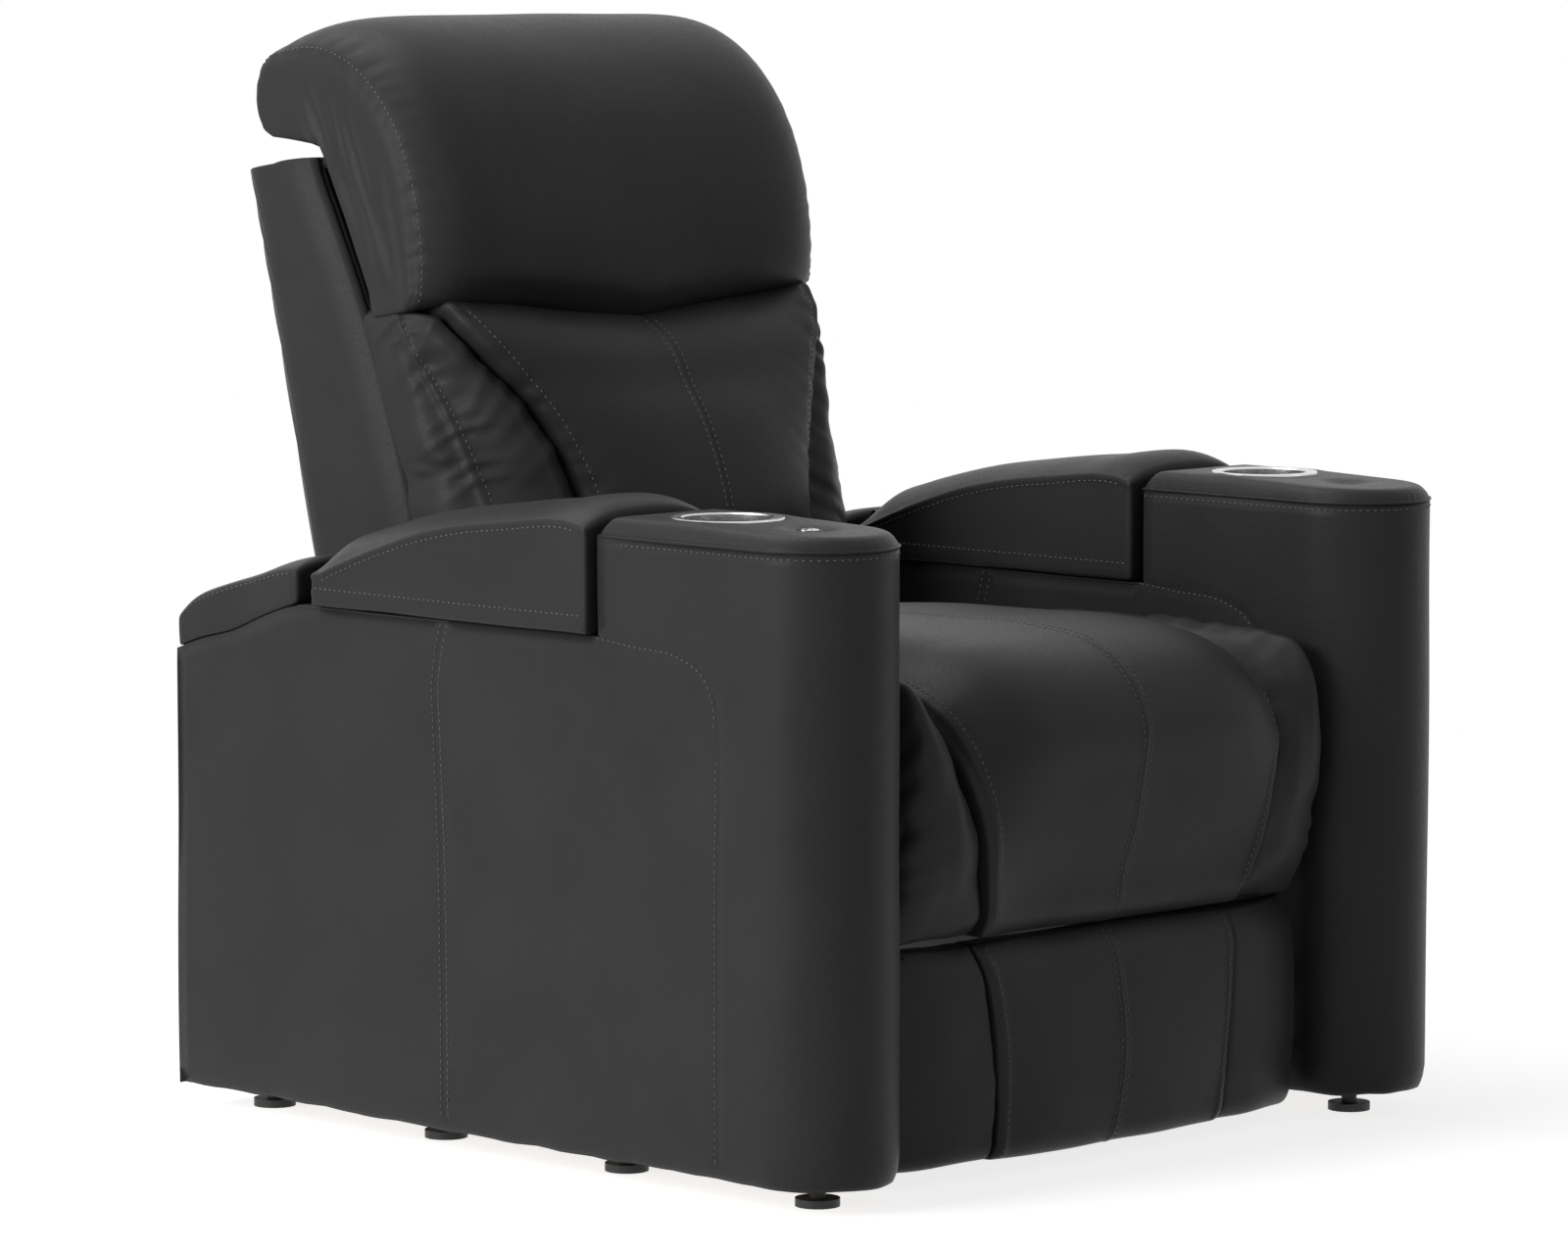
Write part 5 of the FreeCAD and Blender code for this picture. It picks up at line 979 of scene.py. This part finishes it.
def arm_body(side):
    middle = ARM_MIDDLE * side
    line = arm_line(stops=(COLUMN_REAR, 15.0))
    upper = [stop for stop in line if stop[1] <= COLUMN_REAR]

    def side_wall(stop, share):
        x, y = stop
        top = DECK if y < CAP_FRONT else cap_level(y)
        rise = share * (top - ARM_FOOT)
        tuck = max(0.0, 1 - rise / 24) ** 2 * 6.0
        scale = (ARM_HALF - tuck) / ARM_HALF
        y = ARM_NOSE + (y - ARM_NOSE) * scale if y < ARM_NOSE else y
        hem = 2.0 * noise.noise(Vector((x / 30, y / 38, 5.0 * side))) * max(0.0, 1 - rise / 60)
        return middle + x * scale, y, ARM_FOOT + rise + hem

    def column_wall(stop, share):
        return middle + stop[0], stop[1], DECK + (COLUMN_TOP - DECK) * share

    def column_back(x, share):
        return middle + x, COLUMN_REAR, DECK + (COLUMN_TOP - DECK) * share

    def rear_end(x, share):
        return middle + x, ARM_REAR, ARM_FOOT + (cap_level(ARM_REAR) - ARM_FOOT) * share

    def deck(x, y):
        return middle + x, y, DECK

    half_marks = evenly(12, -ARM_HALF, ARM_HALF)
    bm = grid_sheet(line, [0.0, 0.008, 0.02, 0.045] + evenly(26, 0.045, 1.0)[1:], side_wall)
    joined(bm, grid_sheet(upper, evenly(7), column_wall))
    joined(bm, grid_sheet(half_marks, evenly(7), column_back))
    joined(bm, grid_sheet(half_marks, evenly(28), rear_end))
    bin_half, bin_front, bin_rear = 51.5, -183, 143
    across = [-ARM_HALF, -64, -bin_half, 0, bin_half, 64, ARM_HALF]
    along = [COLUMN_REAR, -198, bin_front, -100, 0, 100, bin_rear, 160, 200, CAP_FRONT]
    top = grid_sheet(across, along, deck)
    mouth = [face for face in top.faces
             if abs(face.calc_center_median().x - middle) < bin_half
             and bin_front < face.calc_center_median().y < bin_rear]
    bmesh.ops.delete(top, geom=mouth, context="FACES")
    joined(bm, top)
    bmesh.ops.remove_doubles(bm, verts=bm.verts, dist=0.05)
    seams = arm_seams(side)
    for seam in seams:
        refine(bm, seam, 12, 2)
    bmesh.ops.recalc_face_normals(bm, faces=bm.faces)
    face_out(bm, middle)
    for seam in seams:
        press(bm, seam, 1.1, 3.0)
    soften(bm, 2.2, 190, 51.0 + side)
    piece = finish(bm, f"arm_leather_{SIDE_NAME[side]}", "base", LEATHER,
                   (f"arm_cover_{SIDE_NAME[side]}",), levels=0, thickness=1.6, turn_out=False)
    rows = []
    for index, seam in enumerate(seams):
        is_double = index % 2 == 0
        for gap in (-5.0, 5.0) if is_double else (4.0,):
            rows.append([Vector((point.x, point.y + gap, point.z)) for point in seam])
    rim = [Vector((middle + x, y, COLUMN_TOP - 7)) for x, y in upper]
    stitch(piece, rows + [rim], "base")


def joined(bm, other):
    """Adds another mesh to this one."""
    mesh = bpy.data.meshes.new("joined")
    other.to_mesh(mesh)
    other.free()
    bm.from_mesh(mesh)
    bpy.data.meshes.remove(mesh)


def face_out(bm, middle):
    """Turns an open shell's faces away from the arm's middle."""
    bm.faces.ensure_lookup_table()
    side_face = max(bm.faces, key=lambda face: abs(face.calc_center_median().x - middle))
    outward = side_face.calc_center_median().x - middle
    if side_face.normal.x * outward < 0:
        bmesh.ops.reverse_faces(bm, faces=bm.faces)


def arm_seams(side):
    """Seams of an arm's two sides: the double seam near its middle and the one that turns forward."""
    seams = []
    for face in (RIGHT, LEFT):
        x = ARM_MIDDLE * side + ARM_HALF * face
        double = [(x, 12.5, 540), (x, 20.5, 513), (x, 25.5, 485), (x, 24, 420), (x, 19, 300),
                  (x, 15.5, 160), (x, 15, 40)]
        single = [(x, -212, 541), (x, -265.5, 536), (x, -329.5, 530), (x, -361.5, 515),
                  (x, -376.5, 492), (x, -380, 457), (x, -378.5, 300), (x, -378.5, 150),
                  (x, -378.5, 40)]
        seams += [smooth_line(double, 3), smooth_line(single, 3)]
    return seams


def top_pad(side):
    middle = ARM_MIDDLE * side
    crown, edge_width = 19.0, 17.0
    dish_y, dish_radius, dish_depth = -425.5, 33.0, 5.0
    cup_y, cup_radius = -312.5, 50.0

    def half_width(y):
        if y >= ARM_NOSE:
            return ARM_HALF
        return math.sqrt(max(ARM_HALF ** 2 - (y - ARM_NOSE) ** 2, 0.0))

    def height(x, y):
        radial = ARM_HALF - math.hypot(x, min(y - ARM_NOSE, 0.0))
        edge = max(min(radial, COLUMN_REAR - y), 0.0)
        fall = 6.0 * max(0.0, (-330 - y) / 185)
        rise = (crown - fall) * (1 - max(0.0, 1 - edge / edge_width) ** 2.4)
        dish = math.hypot(x, y - dish_y)
        if dish < dish_radius:
            rise -= dish_depth * (0.5 + 0.5 * math.cos(math.pi * dish / dish_radius)) ** 0.8
        cup = math.hypot(x, y - cup_y)
        rise += 1.2 * math.exp(-((cup - 60) / 5) ** 2) if cup > 57 else 0.0
        return rise

    nose = [ARM_NOSE - ARM_HALF * math.sin(math.pi / 2 * (1 - index / 16)) for index in range(17)]
    straight = [ARM_NOSE + (COLUMN_REAR - ARM_NOSE) * share
                for share in ruled(COLUMN_REAR - ARM_NOSE, 6)[1:]]

    def crown_point(share, y):
        x = folded(share) * half_width(y)
        return middle + x, y, COLUMN_TOP + 0.4 + height(x, y)

    bm = grid_sheet(ruled(2 * ARM_HALF, 6, ends=(1.6, 3.5, 6.0, 9.0)), nose + straight, crown_point)
    cup = []
    for face in bm.faces:
        centre = face.calc_center_median()
        if math.hypot(centre.x - middle, centre.y - cup_y) < cup_radius:
            cup.append(face)
    bmesh.ops.delete(bm, geom=cup, context="FACES")
    bmesh.ops.remove_doubles(bm, verts=bm.verts, dist=0.3)
    bmesh.ops.recalc_face_normals(bm, faces=bm.faces)
    if sum(face.normal.z for face in bm.faces) < 0:
        bmesh.ops.reverse_faces(bm, faces=bm.faces)
    rim = [Vector((middle + x, y, COLUMN_TOP + 3)) for x, y in arm_line(rear=COLUMN_REAR, gap=6)]
    gather(bm, smooth_line(rim, 3), 1.6, 13, 16, 61.0 + side)
    finish(bm, f"top_pad_leather_{SIDE_NAME[side]}", "base", LEATHER,
           (f"arm_top_pad_{SIDE_NAME[side]}",), thickness=2.5, turn_out=False)
    bm = bmesh.new()
    ring = arm_line(rear=COLUMN_REAR, gap=12)
    tube(bm, [(middle + x, y, COLUMN_TOP) for x, y in ring], 1.5, 2)
    tube(bm, [(middle + x, COLUMN_REAR, COLUMN_TOP) for x in (-ARM_HALF, ARM_HALF)], 1.5, 2)
    finish(bm, f"top_pad_welt_{SIDE_NAME[side]}", "base", WELT, levels=0)


def arm_cushion(side, half, crown, seam, under):
    """Surface of a cushion on an arm, highest along its middle."""
    def at(across, along, out):
        place = folded(across)
        front = crown(along).lerp(seam(along), abs(place) ** 3.0)
        point = under(along).lerp(front, out)
        point.x = ARM_MIDDLE * side + place * half
        return point

    return at


LID_SEAM = [(0, 205, 575), (0, 191.5, 577), (0, 170.5, 585), (0, 117.5, 604), (0, 13.5, 633),
            (0, -78.5, 646), (0, -196, 650), (0, -203, 648)]
LID_CROWN = [(0, 206, 588), (0, 200, 602), (0, 187, 613), (0, 150, 625), (0, 103.5, 637.5), (0, 40, 650),
             (0, -19.5, 658.5), (0, -110, 668), (0, -189.5, 671), (0, -203, 664)]
LID_UNDER = [(0, 206.8, 543.7), (0, -203.5, 543.7)]


def lid(side):
    middle, seam = ARM_MIDDLE * side, walk(LID_SEAM)
    surface = arm_cushion(side, LID_HALF, walk(LID_CROWN), seam, walk(LID_UNDER))
    rows = (ruled(2 * LID_HALF, 11), ruled(430, 11, ends=(2, 5, 9, 14)), ruled(95, 9, ends=(3, 7)))
    bm = padded_block((2 * LID_HALF, 430.0, 95.0), rows, (5.0, 5.0, 5.0), surface)
    for face in (RIGHT, LEFT):
        x = middle + face * LID_HALF
        seam_line = [Vector((x, seam(share).y, seam(share).z - 1.0)) for share in evenly(200)]
        press(bm, seam_line, 2.0, 3.0)
        gather(bm, seam_line, 1.4, 17, 22, 71.0 + side + face)
        roll = [Vector((x, y, 557.0)) for y in evenly(200, 205, -202.5)]
        press(bm, roll, 1.6, 2.6)
    soften(bm, 1.2, 90, 73.0 + side)
    piece = finish(bm, f"lid_leather_{SIDE_NAME[side]}", f"lid_{SIDE_NAME[side]}", LEATHER,
                   (f"lid_pad_{SIDE_NAME[side]}",))
    rows = []
    for face in (RIGHT, LEFT):
        x = middle + face * LID_HALF
        rows.append([Vector((x, seam(share).y, seam(share).z - 7)) for share in evenly(92, 0.04, 0.96)])
        rows.append([Vector((x, y, 562.0)) for y in evenly(100, 200, -197)])
    stitch(piece, rows, f"lid_{SIDE_NAME[side]}")


CAP_CROWN = [(0, 239.5, 589), (0, 262, 588), (0, 311.5, 573), (0, 370, 556), (0, 414, 541),
             (0, 429.5, 524)]
CAP_SEAM = [(0, 239, 578), (0, 262, 575.5), (0, 311.5, 564), (0, 365.5, 549), (0, 410.5, 531),
            (0, 429.5, 516)]
CAP_UNDER = [(0, 239, 543), (0, 285, 528.5), (0, 338.5, 508.5), (0, 390, 496.5), (0, 429.5, 483.5)]


def rear_cap(side):
    middle, seam = ARM_MIDDLE * side, walk(CAP_SEAM)
    surface = arm_cushion(side, ARM_HALF - 0.5, walk(CAP_CROWN), seam, walk(CAP_UNDER))
    rows = (ruled(156, 11), ruled(210, 11, ends=(3, 8)), ruled(36, 8, ends=(3,)))
    bm = padded_block((156.0, 210.0, 36.0), rows, (5.0, 7.0, 5.0), surface)
    soften(bm, 1.8, 70, 81.0 + side)
    piece = finish(bm, f"rear_cap_leather_{SIDE_NAME[side]}", "base", LEATHER,
                   (f"arm_rear_cap_{SIDE_NAME[side]}",))
    rows = []
    for face in (RIGHT, LEFT):
        x = middle + face * ARM_HALF
        rows.append([Vector((x, seam(share).y, seam(share).z - 4)) for share in evenly(56, 0.05, 59 / 60)])
    stitch(piece, rows, "base")


# Frames, steel, chrome and plastic

RIGID = {
    "timber": ("arm_frame_right", "arm_frame_left", "seat_frame"),
    "backing_cloth": ("lid_board_right", "lid_board_left", "headrest_board", "footrest_board",
                      "back_frame"),
    "frame_steel": ("seat_side_plate_right", "seat_side_plate_left", "lid_hinge_leaf_right",
                    "lid_hinge_leaf_left", "lid_hinge_post_right", "lid_hinge_post_left",
                    "base_rails", "base_cross_tubes", "slide_rails", "carriage_tubes",
                    "slide_runners", "back_brackets", "headrest_arms", "headrest_brackets",
                    "footrest_swing_frame", "footrest_reach_links", "footrest_brackets"),
    "bright_steel": ("arm_bolts", "seat_springs", "back_springs", "recline_rod", "footrest_rod"),
    "cup_steel": ("cup_holder_right", "cup_holder_left"),
    "control_chrome": ("control_housing", "recline_button", "upright_button"),
    "tray_plastic": ("storage_tray_right", "storage_tray_left"),
    "motor_plastic": ("recline_actuator", "footrest_actuator", "glide_feet", "power_inlet"),
}


def dress_rigid():
    finishes = {
        "timber": timber_finish(),
        "backing_cloth": backing_cloth_finish(),
        "frame_steel": painted_steel_finish(),
        "bright_steel": plated_steel_finish(),
        "cup_steel": cup_steel_finish(),
        "control_chrome": chrome_finish(),
        "tray_plastic": plastic_finish("tray_plastic", 0.020, 0.45, 420.0),
        "motor_plastic": plastic_finish("motor_plastic", 0.028, 0.50, 300.0),
    }
    for finish_name, names in RIGID.items():
        for name in names:
            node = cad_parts[name]
            for slot in node.material_slots:
                slot.material = finishes[finish_name]


LEATHER = leather_finish("charcoal_leather", 0.034)
WELT = leather_finish("welt_leather", 0.028, 0.40)
THREAD = thread_finish()

set_camera()
set_world()
set_light()
set_floor()
dress_rigid()
seat_cushion()
footrest_middle()
lumbar()
shell()
headrest()
for arm_side in (RIGHT, LEFT):
    seat_side(arm_side)
    footrest_side(arm_side)
    back_side(arm_side)
    arm_body(arm_side)
    top_pad(arm_side)
    lid(arm_side)
    rear_cap(arm_side)

bpy.context.scene.view_settings.view_transform = "Standard"
